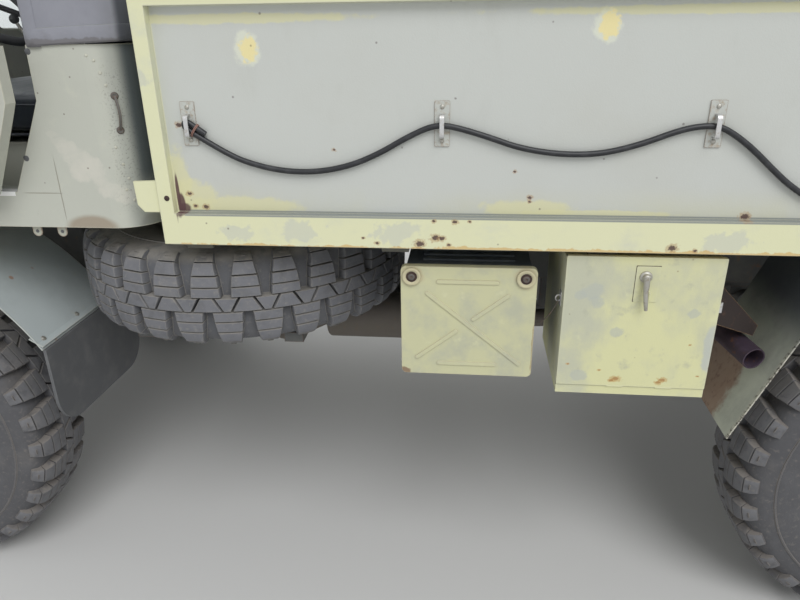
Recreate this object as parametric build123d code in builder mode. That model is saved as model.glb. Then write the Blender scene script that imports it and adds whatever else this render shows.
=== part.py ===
from build123d import *
from math import cos, pi, radians, sin, tan
import os

os.makedirs("parts", exist_ok=True)

# Driving sizes, in millimetres. X points forward, Y to the truck's left, Z up, ground at Z = 0.

# Wheels and axles
WHEELBASE = 2800
FRONT_AXLE_X = 1460
TYRE_RADIUS = 460
TYRE_WIDTH = 250
WHEEL_Y = 790
LUG_COUNT = 20
LUG_SHARE = 0.64
LUG_DEPTH = 26
BEAD_RADIUS = 215
RIM_WIDTH = 190
RIM_WALL = 8
FLANGE_RADIUS = 232
HUB_RADIUS = 75
SPINDLE_RADIUS = 30
RUNNING_FIT = 0.05
KINGPIN_Y = 690
KINGPIN_RADIUS = 15
FORK_HALF_HEIGHT = 75
FORK_PLATE = 20
AXLE_TUBE_RADIUS = 45
DIFF_RADIUS = 145

# Chassis frame
RAIL_OUTER_Y = 380
RAIL_FLANGE = 50
RAIL_DEPTH = 120
RAIL_WALL = 6
RAIL_FRONT_TOP = 780
RAIL_REAR_TOP = 920
KICK_START_X = 20
KICK_END_X = -190

# Cargo body
BED_FRONT_X = 498
BED_HALF_WIDTH = 1000
STAPLE_PITCH = 530
STAPLE_COUNT = 6
STAPLE_MARGIN = 86
BED_RAIL_BOTTOM = 1095
BED_RAIL_TOP = 1165
BED_TOP = 1626
TOP_RAIL_HEIGHT = 45
POST_WIDTH = 32
SIDE_DEPTH = 35
PANEL_RECESS = 20
SHEET = 3
BEARER_DEPTH = 75
BEARER_WIDTH = 60
BEARER_COUNT = 7
FLOOR_THICKNESS = 15
TAILGATE_THICKNESS = 30
TAILGATE_HINGE_Y = (-700, 0, 700)
MOVING_GAP = 5
SEAT_GAP = 0.3
BARREL_RADIUS = 8

# Cab
CAB_HALF_WIDTH = 960
CAB_REAR_X = 545
CAB_BOTTOM = 1117
SILL_TOP = 1199
WAIST = 1512
CAB_WALL = 6
CAB_CORNER = 90
CAB_FRONT_X = 1500
DOOR_FRONT_X = 1470
DOOR_THICKNESS = 28
DOOR_GAP = 6
DOOR_AJAR = 7
ROOF_TOP = 2350
CANVAS = 8
SCREEN_FOOT_X = 1535
SCREEN_TOP_X = 1445
SCREEN_TOP_Z = ROOF_TOP - 170
SCREEN_HALF_WIDTH = 880
SCREEN_TUBE = 36
GLASS = 6

# Nose
NOSE_X = 2190
COWL_TOP_X = 1575
NOSE_HALF_WIDTH = 600
NOSE_FRONT_TOP = 1420
WING_TOP = 1140
ARCH_RADIUS = 650
ARCH_REAR_ANGLE = 150
ARCH_FRONT_ANGLE = 35
BUMPER_HEIGHT = 160
BUMPER_BOTTOM = 620
BUMPER_DEPTH = 80
GRILLE_SLOTS = 9
LAMP_RADIUS = 95

# Boxes under the cargo body
BATTERY_X = (-333, -27)
BATTERY_Z = (768, 1040)
BATTERY_FACE_Y = 960
TOOLBOX_X = (-720, -389)
TOOLBOX_Z = (744, 1075)
TOOLBOX_FACE_Y = 985
TOOLBOX_BACK_Y = 690
PIPE_RADIUS = 27

# Spare wheel
SPARE_X = 468
SPARE_Y = 513
SPARE_Z = 932

# Black rubber cord along the left side
CORD_DIAMETER = 12
CORD_Y = 989.2

# Worked-out places
REAR_AXLE_X = FRONT_AXLE_X - WHEELBASE
AXLE_Z = TYRE_RADIUS
BED_LENGTH = 2 * STAPLE_MARGIN + STAPLE_PITCH * (STAPLE_COUNT - 1)
BED_REAR_X = BED_FRONT_X - BED_LENGTH
RAIL_FRONT_BOTTOM = RAIL_FRONT_TOP - RAIL_DEPTH
RAIL_REAR_BOTTOM = RAIL_REAR_TOP - RAIL_DEPTH
RAIL_INNER_Y = RAIL_OUTER_Y - RAIL_FLANGE
TAILGATE_HINGE = (BED_REAR_X - 4, BED_RAIL_TOP - 7)
REAR_END_X = TAILGATE_HINGE[0] - BARREL_RADIUS
FRONT_END_X = -REAR_END_X
FLOOR_BOTTOM = BED_RAIL_TOP - FLOOR_THICKNESS
BEARER_BOTTOM = FLOOR_BOTTOM - BEARER_DEPTH
floor_half = BED_HALF_WIDTH - SIDE_DEPTH
first_bearer = BED_FRONT_X - SIDE_DEPTH - BEARER_WIDTH / 2
last_bearer = BED_REAR_X + TAILGATE_THICKNESS + BEARER_WIDTH / 2
BEARER_X = [first_bearer + (last_bearer - first_bearer) * n / (BEARER_COUNT - 1) for n in range(BEARER_COUNT)]
SIDES = (("left", 1), ("right", -1))
AXLES = (("front", FRONT_AXLE_X), ("rear", REAR_AXLE_X))


def block(x, y, z, mode=Mode.ADD):
    """A square-edged block between two corners, each axis given as (low, high)."""
    centre = ((x[0] + x[1]) / 2, (y[0] + y[1]) / 2, (z[0] + z[1]) / 2)
    with Locations(centre):
        Box(abs(x[1] - x[0]), abs(y[1] - y[0]), abs(z[1] - z[0]), mode=mode)


def side_plate(outline, y_low, y_high, mode=Mode.ADD):
    """A plate whose outline is drawn in (X, Z), between two distances from the centre plane."""
    with BuildSketch(Plane.XZ.offset(-y_high)) as profile:
        with BuildLine():
            Polyline(*outline, close=True)
        make_face()
    extrude(profile.sketch, amount=y_high - y_low, mode=mode)


def disc(origin, direction, radius, length, mode=Mode.ADD):
    """A round bar from a point along a direction."""
    with BuildSketch(Plane(origin=origin, z_dir=direction)) as profile:
        Circle(radius)
    extrude(profile.sketch, amount=length, mode=mode)


def save(piece, name):
    """Labels a finished piece and writes its file."""
    piece.part.label = name
    export_step(piece.part, f"parts/{name}.step")


# Chassis frame: two channel rails that rise over the rear axle, cross members, hangers and a tow hook
RAIL_END_X = BED_REAR_X + 40
rail_outline = (
    (FRONT_END_X - BUMPER_DEPTH, RAIL_FRONT_TOP), (KICK_START_X, RAIL_FRONT_TOP),
    (KICK_END_X, RAIL_REAR_TOP), (RAIL_END_X, RAIL_REAR_TOP),
    (RAIL_END_X, RAIL_REAR_BOTTOM), (KICK_END_X - 35, RAIL_REAR_BOTTOM),
    (KICK_START_X - 35, RAIL_FRONT_BOTTOM), (FRONT_END_X - BUMPER_DEPTH, RAIL_FRONT_BOTTOM),
)
SPRING_Y = RAIL_OUTER_Y - 30
SPRING_WIDTH = 60
HANGER_Z = 600
HANGER_LENGTH = 50
SPRING_HALF = {"front": 520, "rear": 560}
CROSS_MEMBERS = ((2120, 720), (-640, 860), (-1340, 870), (-2250, 860))
GEARBOX_MEMBER_X = 860
GEARBOX_BOTTOM = 575
with BuildPart() as chassis_frame:
    for _, side in SIDES:
        low, high = sorted((side * RAIL_INNER_Y, side * RAIL_OUTER_Y))
        side_plate(rail_outline, low, high)
        with BuildSketch(Plane.XZ.offset(-side * (RAIL_OUTER_Y - RAIL_WALL))):
            with BuildLine():
                Polyline(*rail_outline, close=True)
            make_face()
            offset(amount=-RAIL_WALL, mode=Mode.REPLACE)
        extrude(amount=side * (RAIL_FLANGE - RAIL_WALL), mode=Mode.SUBTRACT)
    for x, z in CROSS_MEMBERS:
        web = RAIL_OUTER_Y - RAIL_WALL
        block((x - 30, x + 30), (-web, web), (z - 35, z + 35))
    web = RAIL_OUTER_Y - RAIL_WALL
    member_x = (GEARBOX_MEMBER_X - 30, GEARBOX_MEMBER_X + 30)
    block(member_x, (-web, web), (GEARBOX_BOTTOM - 27, GEARBOX_BOTTOM - SEAT_GAP))
    for _, side in SIDES:
        block(member_x, sorted((side * (web - 30), side * web)), 
              (GEARBOX_BOTTOM - 27, RAIL_FRONT_TOP - 20))
    for name, axle_x in AXLES:
        rail_bottom = RAIL_FRONT_BOTTOM if name == "front" else RAIL_REAR_BOTTOM
        for end in (-1, 1):
            x = axle_x + end * SPRING_HALF[name]
            for _, side in SIDES:
                y = side * SPRING_Y
                block((x - 25, x + 25), (y - 30, y + 30), (HANGER_Z, rail_bottom))
    block((RAIL_END_X - 12, RAIL_END_X), (-web, web), (RAIL_REAR_BOTTOM, RAIL_REAR_TOP))
    with Locations(Location((RAIL_END_X + 14, 0, RAIL_REAR_BOTTOM + 60), (90, 0, 0))):
        Torus(18, 6)
save(chassis_frame, "chassis_frame")

# Leaf springs: stepped packs, arched down onto the axle pads, with their ends under the hangers
LEAF = 8
LEAF_STEPS = (1.0, 0.78, 0.58, 0.38, 0.2)
SPRING_PAD = 12
spring_seat = AXLE_Z + AXLE_TUBE_RADIUS + SPRING_PAD
spring_rise = HANGER_Z - SEAT_GAP - (spring_seat + LEAF * len(LEAF_STEPS))
with BuildPart() as leaf_springs:
    for name, axle_x in AXLES:
        for _, side in SIDES:
            half = SPRING_HALF[name] + HANGER_LENGTH / 2
            for step, share in enumerate(LEAF_STEPS):
                top = spring_seat + LEAF * (len(LEAF_STEPS) - step)
                reach = half * share
                rise = spring_rise * share * share
                with BuildSketch(Plane.XZ.offset(-side * SPRING_Y - SPRING_WIDTH / 2)):
                    with BuildLine():
                        ThreePointArc((axle_x - reach, top + rise), (axle_x, top), (axle_x + reach, top + rise))
                        Line((axle_x + reach, top + rise), (axle_x + reach, top + rise - LEAF))
                        ThreePointArc((axle_x + reach, top + rise - LEAF), (axle_x, top - LEAF),
                                      (axle_x - reach, top + rise - LEAF))
                        Line((axle_x - reach, top + rise - LEAF), (axle_x - reach, top + rise))
                    make_face()
                extrude(amount=SPRING_WIDTH)
save(leaf_springs, "leaf_springs")

# Front axle: tube, offset differential, spring pads and open forks that hold the king pins
FORK_INNER_Y = 600
with BuildPart() as front_axle:
    disc((FRONT_AXLE_X, -FORK_INNER_Y - 10, AXLE_Z), (0, 1, 0), AXLE_TUBE_RADIUS, 2 * FORK_INNER_Y + 20)
    disc((FRONT_AXLE_X - 100, -150, AXLE_Z), (1, 0, 0), DIFF_RADIUS, 200)
    for _, side in SIDES:
        y = side * SPRING_Y
        block((FRONT_AXLE_X - 60, FRONT_AXLE_X + 60), (y - 30, y + 30), (AXLE_Z + 20, spring_seat))
        ends = sorted((side * FORK_INNER_Y, side * (FORK_INNER_Y + 15)))
        arm = FORK_HALF_HEIGHT + FORK_PLATE
        block((FRONT_AXLE_X - 40, FRONT_AXLE_X + 40), ends, (AXLE_Z - arm, AXLE_Z + arm))
        reach = sorted((side * FORK_INNER_Y, side * (KINGPIN_Y + 30)))
        for low in (AXLE_Z - arm, AXLE_Z + FORK_HALF_HEIGHT):
            block((FRONT_AXLE_X - 40, FRONT_AXLE_X + 40), reach, (low, low + FORK_PLATE))
        disc((FRONT_AXLE_X, side * KINGPIN_Y, AXLE_Z - arm), (0, 0, 1),
             KINGPIN_RADIUS + RUNNING_FIT, 2 * arm, Mode.SUBTRACT)
save(front_axle, "front_axle")

# Steering knuckles: a block between the fork arms with its king pin, steering arm and wheel spindle
SPINDLE_END_Y = WHEEL_Y + 30
KNUCKLE_GAP = 1
for side_name, side in SIDES:
    half = FORK_HALF_HEIGHT - KNUCKLE_GAP
    with BuildPart() as knuckle:
        body = sorted((side * (KINGPIN_Y - 35), side * (KINGPIN_Y + 35)))
        block((FRONT_AXLE_X - 35, FRONT_AXLE_X + 35), body, (AXLE_Z - half, AXLE_Z + half))
        arm = FORK_HALF_HEIGHT + FORK_PLATE
        disc((FRONT_AXLE_X, side * KINGPIN_Y, AXLE_Z - arm - 6), (0, 0, 1), KINGPIN_RADIUS, 2 * arm + 12)
        disc((FRONT_AXLE_X, side * (KINGPIN_Y + 30), AXLE_Z), (0, side, 0), SPINDLE_RADIUS,
             SPINDLE_END_Y - KINGPIN_Y - 30)
        arm_y = sorted((side * (KINGPIN_Y - 45), side * (KINGPIN_Y - 15)))
        block((FRONT_AXLE_X - 150, FRONT_AXLE_X - 30), arm_y, (AXLE_Z - 45, AXLE_Z - 20))
    save(knuckle, f"knuckle_{side_name}")

# Rear axle: tube, differential, spring pads, brake back plates and spindles
with BuildPart() as rear_axle:
    disc((REAR_AXLE_X, -720, AXLE_Z), (0, 1, 0), AXLE_TUBE_RADIUS, 1440)
    disc((REAR_AXLE_X - 110, 0, AXLE_Z), (1, 0, 0), DIFF_RADIUS, 220)
    for _, side in SIDES:
        y = side * SPRING_Y
        block((REAR_AXLE_X - 60, REAR_AXLE_X + 60), (y - 30, y + 30), (AXLE_Z + 20, spring_seat))
        disc((REAR_AXLE_X, side * 660, AXLE_Z), (0, side, 0), 140, 60)
        disc((REAR_AXLE_X, side * 715, AXLE_Z), (0, side, 0), SPINDLE_RADIUS, SPINDLE_END_Y - 715)
save(rear_axle, "rear_axle")

# Tyre: two flat-faced halves with staggered lugs that slope down at the shoulder, and a recess round each bead
half_width = TYRE_WIDTH / 2
bead_half = RIM_WIDTH / 2 - 7
GROOVE_FLOOR = TYRE_RADIUS - LUG_DEPTH
SHOULDER = 38
SHOULDER_SLOPE = 48
RECESS_RADIUS = TYRE_RADIUS - 110
RECESS_SLOPE = 69
lug_pitch = 2 * pi / LUG_COUNT
lug_ring = [(radius * cos((number + turn) * lug_pitch), radius * sin((number + turn) * lug_pitch))
            for number in range(LUG_COUNT)
            for turn, radius in ((0, TYRE_RADIUS), (LUG_SHARE, TYRE_RADIUS), ((1 + LUG_SHARE) / 2, GROOVE_FLOOR))]
lug_top = TYRE_RADIUS * cos(LUG_SHARE * lug_pitch / 2)
facet_turn = 180 * (LUG_SHARE - 1) / LUG_COUNT
with BuildPart() as tyre_envelope:
    for start, depth, slope in ((0, half_width - SHOULDER, 0), (half_width - SHOULDER, SHOULDER, SHOULDER_SLOPE)):
        with BuildSketch(Plane.XY.offset(start)):
            RegularPolygon(lug_top, LUG_COUNT, major_radius=False, rotation=facet_turn)
        extrude(amount=depth, taper=slope)
with BuildPart() as tyre_half:
    with BuildSketch():
        Polygon(*lug_ring, align=None)
    extrude(amount=half_width)
    add(tyre_envelope.part, mode=Mode.INTERSECT)
    with BuildSketch(Plane.XY.offset(half_width)):
        RegularPolygon(RECESS_RADIUS, LUG_COUNT, rotation=facet_turn)
    extrude(amount=bead_half - half_width, taper=RECESS_SLOPE, mode=Mode.SUBTRACT)
other_half = tyre_half.part.rotate(Axis.X, 180).rotate(Axis.Z, 180 / LUG_COUNT)
with BuildPart() as tyre_master:
    add(tyre_half.part)
    add(other_half)
    Cylinder(BEAD_RADIUS, 2 * TYRE_WIDTH, mode=Mode.SUBTRACT)

# Wheel disc and rim: a rolled barrel with two flanges, a dished disc with hand holes and a bored hub
DISC_OFFSET = 25
HOLE_COUNT = 6
with BuildPart() as rim_master:
    with BuildSketch(Plane.XZ):
        with BuildLine():
            Polyline(
                (BEAD_RADIUS - RIM_WALL, -RIM_WIDTH / 2), (FLANGE_RADIUS, -RIM_WIDTH / 2),
                (FLANGE_RADIUS, -bead_half), (BEAD_RADIUS, -bead_half), (BEAD_RADIUS, bead_half),
                (FLANGE_RADIUS, bead_half), (FLANGE_RADIUS, RIM_WIDTH / 2),
                (BEAD_RADIUS - RIM_WALL, RIM_WIDTH / 2), close=True)
        make_face()
    revolve(axis=Axis.Z)
    disc((0, 0, DISC_OFFSET), (0, 0, 1), BEAD_RADIUS - RIM_WALL + 1, 9)
    disc((0, 0, -30), (0, 0, 1), HUB_RADIUS, DISC_OFFSET + 75)
    with PolarLocations(145, HOLE_COUNT):
        Cylinder(24, 200, mode=Mode.SUBTRACT)
    disc((0, 0, -40), (0, 0, 1), SPINDLE_RADIUS + RUNNING_FIT, 80, Mode.SUBTRACT)

for axle_name, axle_x in AXLES:
    for side_name, side in SIDES:
        place = Location((axle_x, side * WHEEL_Y, AXLE_Z), (-90 * side, 0, 0))
        for kind, master in (("tyre", tyre_master), ("rim", rim_master)):
            with BuildPart() as wheel_piece:
                with Locations(place):
                    add(master.part)
            save(wheel_piece, f"{kind}_{axle_name}_{side_name}")

# Spare wheel, slung flat between the frame and the cargo body, and its carrier
SPARE_BOTTOM = SPARE_Z - half_width
with BuildPart() as spare_tyre:
    with Locations((SPARE_X, SPARE_Y, SPARE_Z)):
        add(tyre_master.part)
save(spare_tyre, "tyre_spare")
with BuildPart() as spare_rim:
    with Locations((SPARE_X, SPARE_Y, SPARE_Z)):
        add(rim_master.part)
save(spare_rim, "rim_spare")
with BuildPart() as spare_carrier:
    for x in (SPARE_X - 200, SPARE_X + 200):
        block((x - 25, x + 25), (RAIL_INNER_Y, SPARE_Y + 330), (RAIL_FRONT_TOP, SPARE_BOTTOM))
    block((SPARE_X - 200, SPARE_X + 200), (SPARE_Y - 30, SPARE_Y + 30), (RAIL_FRONT_TOP, SPARE_BOTTOM - 5))
    disc((SPARE_X, SPARE_Y, SPARE_BOTTOM - 8), (0, 0, 1), 12, SPARE_Z + 40 - SEAT_GAP - SPARE_BOTTOM + 8)
save(spare_carrier, "spare_carrier")

# Engine, one plain block at its place over the front axle, on two arms that rest on the rails
ENGINE_X = (1180, 1980)
ENGINE_HALF_WIDTH = 240
ENGINE_Z = (740, 1290)
with BuildPart() as engine_block:
    block(ENGINE_X, (-ENGINE_HALF_WIDTH, ENGINE_HALF_WIDTH), ENGINE_Z)
    block((1500, 1580), (-RAIL_OUTER_Y, RAIL_OUTER_Y), (RAIL_FRONT_TOP, RAIL_FRONT_TOP + 25))
    fillet(engine_block.edges().filter_by(Axis.Z), 15)
save(engine_block, "engine_block")

# Gearbox, transfer case and the two propeller shafts
SHAFT_TILT = 3.3
with BuildPart() as driveline:
    block((520, ENGINE_X[0]), (-140, 140), (GEARBOX_BOTTOM, 780))
    block((300, 520), (-220, 120), (510, 740))
    front_joint = (FRONT_AXLE_X - 100 - SHAFT_TILT, -150, AXLE_Z)
    front_out = (520, -180, 540)
    rear_joint = (REAR_AXLE_X + 110 + SHAFT_TILT, 0, AXLE_Z)
    rear_out = (300, -20, 600)
    for start, end in ((front_out, front_joint), (rear_out, rear_joint)):
        run = Vector(*end) - Vector(*start)
        disc(start, run, 28, run.length)
        disc(start, run, 55, 40)
save(driveline, "driveline")

# Silencer and exhaust pipe, which leaves just ahead of the left rear wheel
SILENCER_Y = 475
SILENCER_Z = 700
SILENCER_X = (-300, 250)
inlet_route = (
    (SILENCER_X[1] - 5, SILENCER_Y, SILENCER_Z), (400, SILENCER_Y, 625), (640, 235, 618),
    (1100, 215, 628), (1250, 205, 636), (1250, 205, ENGINE_Z[0] - SEAT_GAP),
)
outlet_route = (
    (SILENCER_X[0] + 5, SILENCER_Y, SILENCER_Z), (-470, 490, 715), (-700, 580, 790),
    (-790, 740, 842), (-839, 930, 821),
)
with BuildPart() as exhaust:
    disc((SILENCER_X[0], SILENCER_Y, SILENCER_Z), (1, 0, 0), 72, SILENCER_X[1] - SILENCER_X[0])
    fillet(exhaust.edges().filter_by(GeomType.CIRCLE), 12)
    block((180, 200), (RAIL_OUTER_Y, SILENCER_Y), (SILENCER_Z - 15, SILENCER_Z + 15))
    block((-260, -240), (RAIL_OUTER_Y, SILENCER_Y), (SILENCER_Z + 20, RAIL_REAR_BOTTOM + 40))
    for route in (inlet_route, outlet_route):
        with BuildLine() as pipe_line:
            FilletPolyline(*route, radius=70)
        with BuildSketch(Plane(origin=pipe_line.line @ 0, z_dir=pipe_line.line % 0)):
            Circle(PIPE_RADIUS)
        sweep(path=pipe_line.line)
    with BuildLine() as bore_line:
        FilletPolyline(*outlet_route, radius=70)
    tip = bore_line.line @ 1
    disc(tip, -(bore_line.line % 1), PIPE_RADIUS - 3, 120, Mode.SUBTRACT)
save(exhaust, "exhaust")

# Fuel tank on the right, with two strap hangers
TANK_X = (-560, 80)
TANK_Y = (-940, -560)
TANK_Z = (700, 1030)
with BuildPart() as fuel_tank:
    block(TANK_X, TANK_Y, TANK_Z)
    fillet(fuel_tank.edges().filter_by(Axis.X), 45)
    for x in BEARER_X[1:3]:
        block((x - 20, x + 20), (TANK_Y[0] - 4, TANK_Y[1] + 4), (TANK_Z[0] + 60, BEARER_BOTTOM))
    disc((TANK_X[1] - 300, TANK_Y[0] + 60, TANK_Z[1] - 30), (0, -1, 0.6), 38, 90)
save(fuel_tank, "fuel_tank")

# Front bumper: a deep channel on the frame ends
with BuildPart() as front_bumper:
    block((FRONT_END_X - BUMPER_DEPTH, FRONT_END_X), (-950, 950), (BUMPER_BOTTOM, BUMPER_BOTTOM + BUMPER_HEIGHT))
    fillet(front_bumper.edges().filter_by(Axis.Z), 25)
    block((FRONT_END_X - BUMPER_DEPTH, FRONT_END_X - 6), (-944, 944),
          (BUMPER_BOTTOM + 6, BUMPER_BOTTOM + BUMPER_HEIGHT - 6), Mode.SUBTRACT)
    for y in (-355, 355):
        block((FRONT_END_X - BUMPER_DEPTH, FRONT_END_X - 3), (y - 30, y + 30),
              (BUMPER_BOTTOM, BUMPER_BOTTOM + BUMPER_HEIGHT))
save(front_bumper, "front_bumper")

# Cab shell: one sheet round the back and both sides, cut out for the doors
opening_edge = ((755, WAIST), (757, 1400), (768, 1376), (853, SILL_TOP))
with BuildPart() as cab_shell:
    with BuildSketch(Plane.XY.offset(CAB_BOTTOM)):
        with BuildLine():
            FilletPolyline(
                (CAB_FRONT_X, CAB_HALF_WIDTH), (CAB_REAR_X, CAB_HALF_WIDTH),
                (CAB_REAR_X, -CAB_HALF_WIDTH), (CAB_FRONT_X, -CAB_HALF_WIDTH), radius=CAB_CORNER)
            Line((CAB_FRONT_X, -CAB_HALF_WIDTH), (CAB_FRONT_X, -CAB_HALF_WIDTH + CAB_WALL))
            FilletPolyline(
                (CAB_FRONT_X, -CAB_HALF_WIDTH + CAB_WALL), (CAB_REAR_X + CAB_WALL, -CAB_HALF_WIDTH + CAB_WALL),
                (CAB_REAR_X + CAB_WALL, CAB_HALF_WIDTH - CAB_WALL), (CAB_FRONT_X, CAB_HALF_WIDTH - CAB_WALL),
                radius=CAB_CORNER - CAB_WALL)
            Line((CAB_FRONT_X, CAB_HALF_WIDTH - CAB_WALL), (CAB_FRONT_X, CAB_HALF_WIDTH))
        make_face()
    extrude(amount=WAIST - CAB_BOTTOM)
    side_plate(opening_edge + ((DOOR_FRONT_X, SILL_TOP), (DOOR_FRONT_X, WAIST + 1), (755, WAIST + 1)),
               -CAB_HALF_WIDTH - 1, CAB_HALF_WIDTH + 1, Mode.SUBTRACT)
save(cab_shell, "cab_shell")

# Cab floor: floor pan, sill boxes and the posts that carry it on the frame
FLOOR_TOP = 1130
SHELL_INNER_Y = CAB_HALF_WIDTH - CAB_WALL
cab_posts = ((985, 1), (1640, 1), (985, -1), (1640, -1), (620, -1))
with BuildPart() as cab_floor:
    block((CAB_REAR_X + CAB_WALL + 100, CAB_FRONT_X), (-SHELL_INNER_Y, SHELL_INNER_Y), (CAB_BOTTOM, FLOOR_TOP))
    block((CAB_REAR_X + CAB_WALL, CAB_REAR_X + CAB_WALL + 100), (84 - SHELL_INNER_Y, SHELL_INNER_Y - 84), (CAB_BOTTOM, FLOOR_TOP))
    for _, side in SIDES:
        sill = sorted((side * (SHELL_INNER_Y - 64), side * SHELL_INNER_Y))
        block((860, CAB_FRONT_X), sill, (FLOOR_TOP, SILL_TOP - 2))
    block((CAB_FRONT_X, 1670), (-400, 400), (CAB_BOTTOM, FLOOR_TOP))
    block((1180, 1690), (-ENGINE_HALF_WIDTH - 20, ENGINE_HALF_WIDTH + 20), (CAB_BOTTOM - 5, 1300), Mode.SUBTRACT)
    for x, side in cab_posts:
        y = side * (RAIL_OUTER_Y - 28)
        block((x - 25, x + 25), (y - 25, y + 25), (RAIL_FRONT_TOP, CAB_BOTTOM + 2))
save(cab_floor, "cab_floor")

# Steering column line, from the wheel's centre down to the bulkhead
COLUMN_RADIUS = 22
WHEEL_CENTRE = Vector(1235, CAB_HALF_WIDTH - 490, 1640)
COLUMN = Vector(248, 0, -290.3)

# Scuttle: bulkhead, engine cover inside the cab and the instrument panel
with BuildPart() as cab_cowl:
    block((CAB_FRONT_X, CAB_FRONT_X + 8), (-CAB_HALF_WIDTH, CAB_HALF_WIDTH), (WING_TOP, WAIST))
    block((CAB_FRONT_X, CAB_FRONT_X + 8), (-260, 260), (CAB_BOTTOM + 13, 1400), Mode.SUBTRACT)
    block((CAB_FRONT_X, COWL_TOP_X), (-CAB_HALF_WIDTH, CAB_HALF_WIDTH), (WAIST - 8, WAIST))
    block((1400, CAB_FRONT_X), (-900, 900), (1385, WAIST - 4))
    block((1410, CAB_FRONT_X), (-890, 890), (1385, WAIST - 12), Mode.SUBTRACT)
    block((1165, CAB_FRONT_X + 8), (-268, 268), (FLOOR_TOP, 1330))
    block((1173, CAB_FRONT_X + 8), (-260, 260), (FLOOR_TOP, 1322), Mode.SUBTRACT)
    disc(WHEEL_CENTRE, COLUMN, COLUMN_RADIUS + 2, COLUMN.length - 30, Mode.SUBTRACT)
save(cab_cowl, "cab_cowl")

# Nose: side walls and front panel with upright grille slots and two lamp bowls
NOSE_REAR_X = CAB_FRONT_X + 8
with BuildPart() as grille_panel:
    nose_outline = ((NOSE_REAR_X, WING_TOP), (NOSE_X, WING_TOP), (NOSE_X, NOSE_FRONT_TOP - 9),
                    (NOSE_REAR_X, WAIST - 15))
    for _, side in SIDES:
        wall = sorted((side * NOSE_HALF_WIDTH, side * (NOSE_HALF_WIDTH - SHEET)))
        side_plate(nose_outline, *wall)
    block((NOSE_X - 4, NOSE_X), (-NOSE_HALF_WIDTH, NOSE_HALF_WIDTH), (860, NOSE_FRONT_TOP - 9))
    with BuildSketch(Plane.YZ.offset(NOSE_X + 1)):
        with Locations((0, 1150)):
            with GridLocations(68, 1, GRILLE_SLOTS, 1):
                SlotOverall(380, 34, rotation=90)
        with Locations((470, 1180), (-470, 1180)):
            Circle(LAMP_RADIUS)
    extrude(amount=-10, mode=Mode.SUBTRACT)
save(grille_panel, "grille_panel")

# Headlamps: shallow bowls with domed lenses, set in the front panel
with BuildPart() as headlamps:
    for side in (-1, 1):
        with BuildSketch(Plane(origin=(NOSE_X, side * 470, 1180), x_dir=(1, 0, 0), z_dir=(0, 0, 1))):
            with BuildLine():
                Polyline((32, 6), (32, 0), (-60, 0), (-60, 50), (-5, LAMP_RADIUS - SEAT_GAP),
                         (10, LAMP_RADIUS - SEAT_GAP))
                ThreePointArc((10, LAMP_RADIUS - SEAT_GAP), (26, 50), (32, 6))
            make_face()
        revolve(axis=Axis((NOSE_X, side * 470, 1180), (1, 0, 0)))
save(headlamps, "headlamps")

# Front wings: flat tops, outer skins cut to the wheel arch and the curved arch sheets
arch_end = (FRONT_AXLE_X + ARCH_RADIUS * cos(radians(ARCH_FRONT_ANGLE)),
            AXLE_Z + ARCH_RADIUS * sin(radians(ARCH_FRONT_ANGLE)))
WING_SKIN_Y = CAB_HALF_WIDTH - 10
ARCH_INNER_Y = 600
with BuildPart() as front_wings:
    for _, side in SIDES:
        with BuildSketch(Plane.XZ.offset(-side * ARCH_INNER_Y)):
            with BuildLine():
                for radius in (ARCH_RADIUS, ARCH_RADIUS - SHEET):
                    CenterArc((FRONT_AXLE_X, AXLE_Z), radius, ARCH_FRONT_ANGLE, ARCH_REAR_ANGLE - ARCH_FRONT_ANGLE)
                for angle in (radians(ARCH_FRONT_ANGLE), radians(ARCH_REAR_ANGLE)):
                    Line(*[(FRONT_AXLE_X + r * cos(angle), AXLE_Z + r * sin(angle))
                           for r in (ARCH_RADIUS, ARCH_RADIUS - SHEET)])
            make_face()
        extrude(amount=-side * (WING_SKIN_Y - ARCH_INNER_Y))
        skin = sorted((side * (WING_SKIN_Y - SHEET), side * WING_SKIN_Y))
        side_plate(((CAB_FRONT_X, WING_TOP), (NOSE_X, WING_TOP), (NOSE_X, arch_end[1]), arch_end,
                    (CAB_FRONT_X, arch_end[1])), *skin)
        disc((FRONT_AXLE_X, side * (WING_SKIN_Y - 6), AXLE_Z), (0, side, 0), ARCH_RADIUS - SHEET, 12, Mode.SUBTRACT)
        top = sorted((side * NOSE_HALF_WIDTH, side * WING_SKIN_Y))
        block((NOSE_REAR_X, NOSE_X), top, (WING_TOP - SHEET, WING_TOP))
        block((NOSE_X - SHEET, NOSE_X), top, (arch_end[1], WING_TOP))
save(front_wings, "front_wings")

# Rubber flaps on the rear ends of the front wings
FLAP_THICKNESS = 8
FLAP_X = FRONT_AXLE_X + ARCH_RADIUS * cos(radians(ARCH_REAR_ANGLE)) - SEAT_GAP - FLAP_THICKNESS
flap_top = AXLE_Z + ARCH_RADIUS * sin(radians(ARCH_REAR_ANGLE))
with BuildPart() as front_flaps:
    for _, side in SIDES:
        with BuildSketch(Plane.YZ.offset(FLAP_X)):
            with BuildLine():
                FilletPolyline((side * WING_SKIN_Y, flap_top), (side * WING_SKIN_Y, 548), (side * 500, 536), (side * 500, flap_top),
                               radius=90)
                Line((side * 500, flap_top), (side * WING_SKIN_Y, flap_top))
            make_face()
        extrude(amount=FLAP_THICKNESS)
save(front_flaps, "front_flaps")

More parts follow.
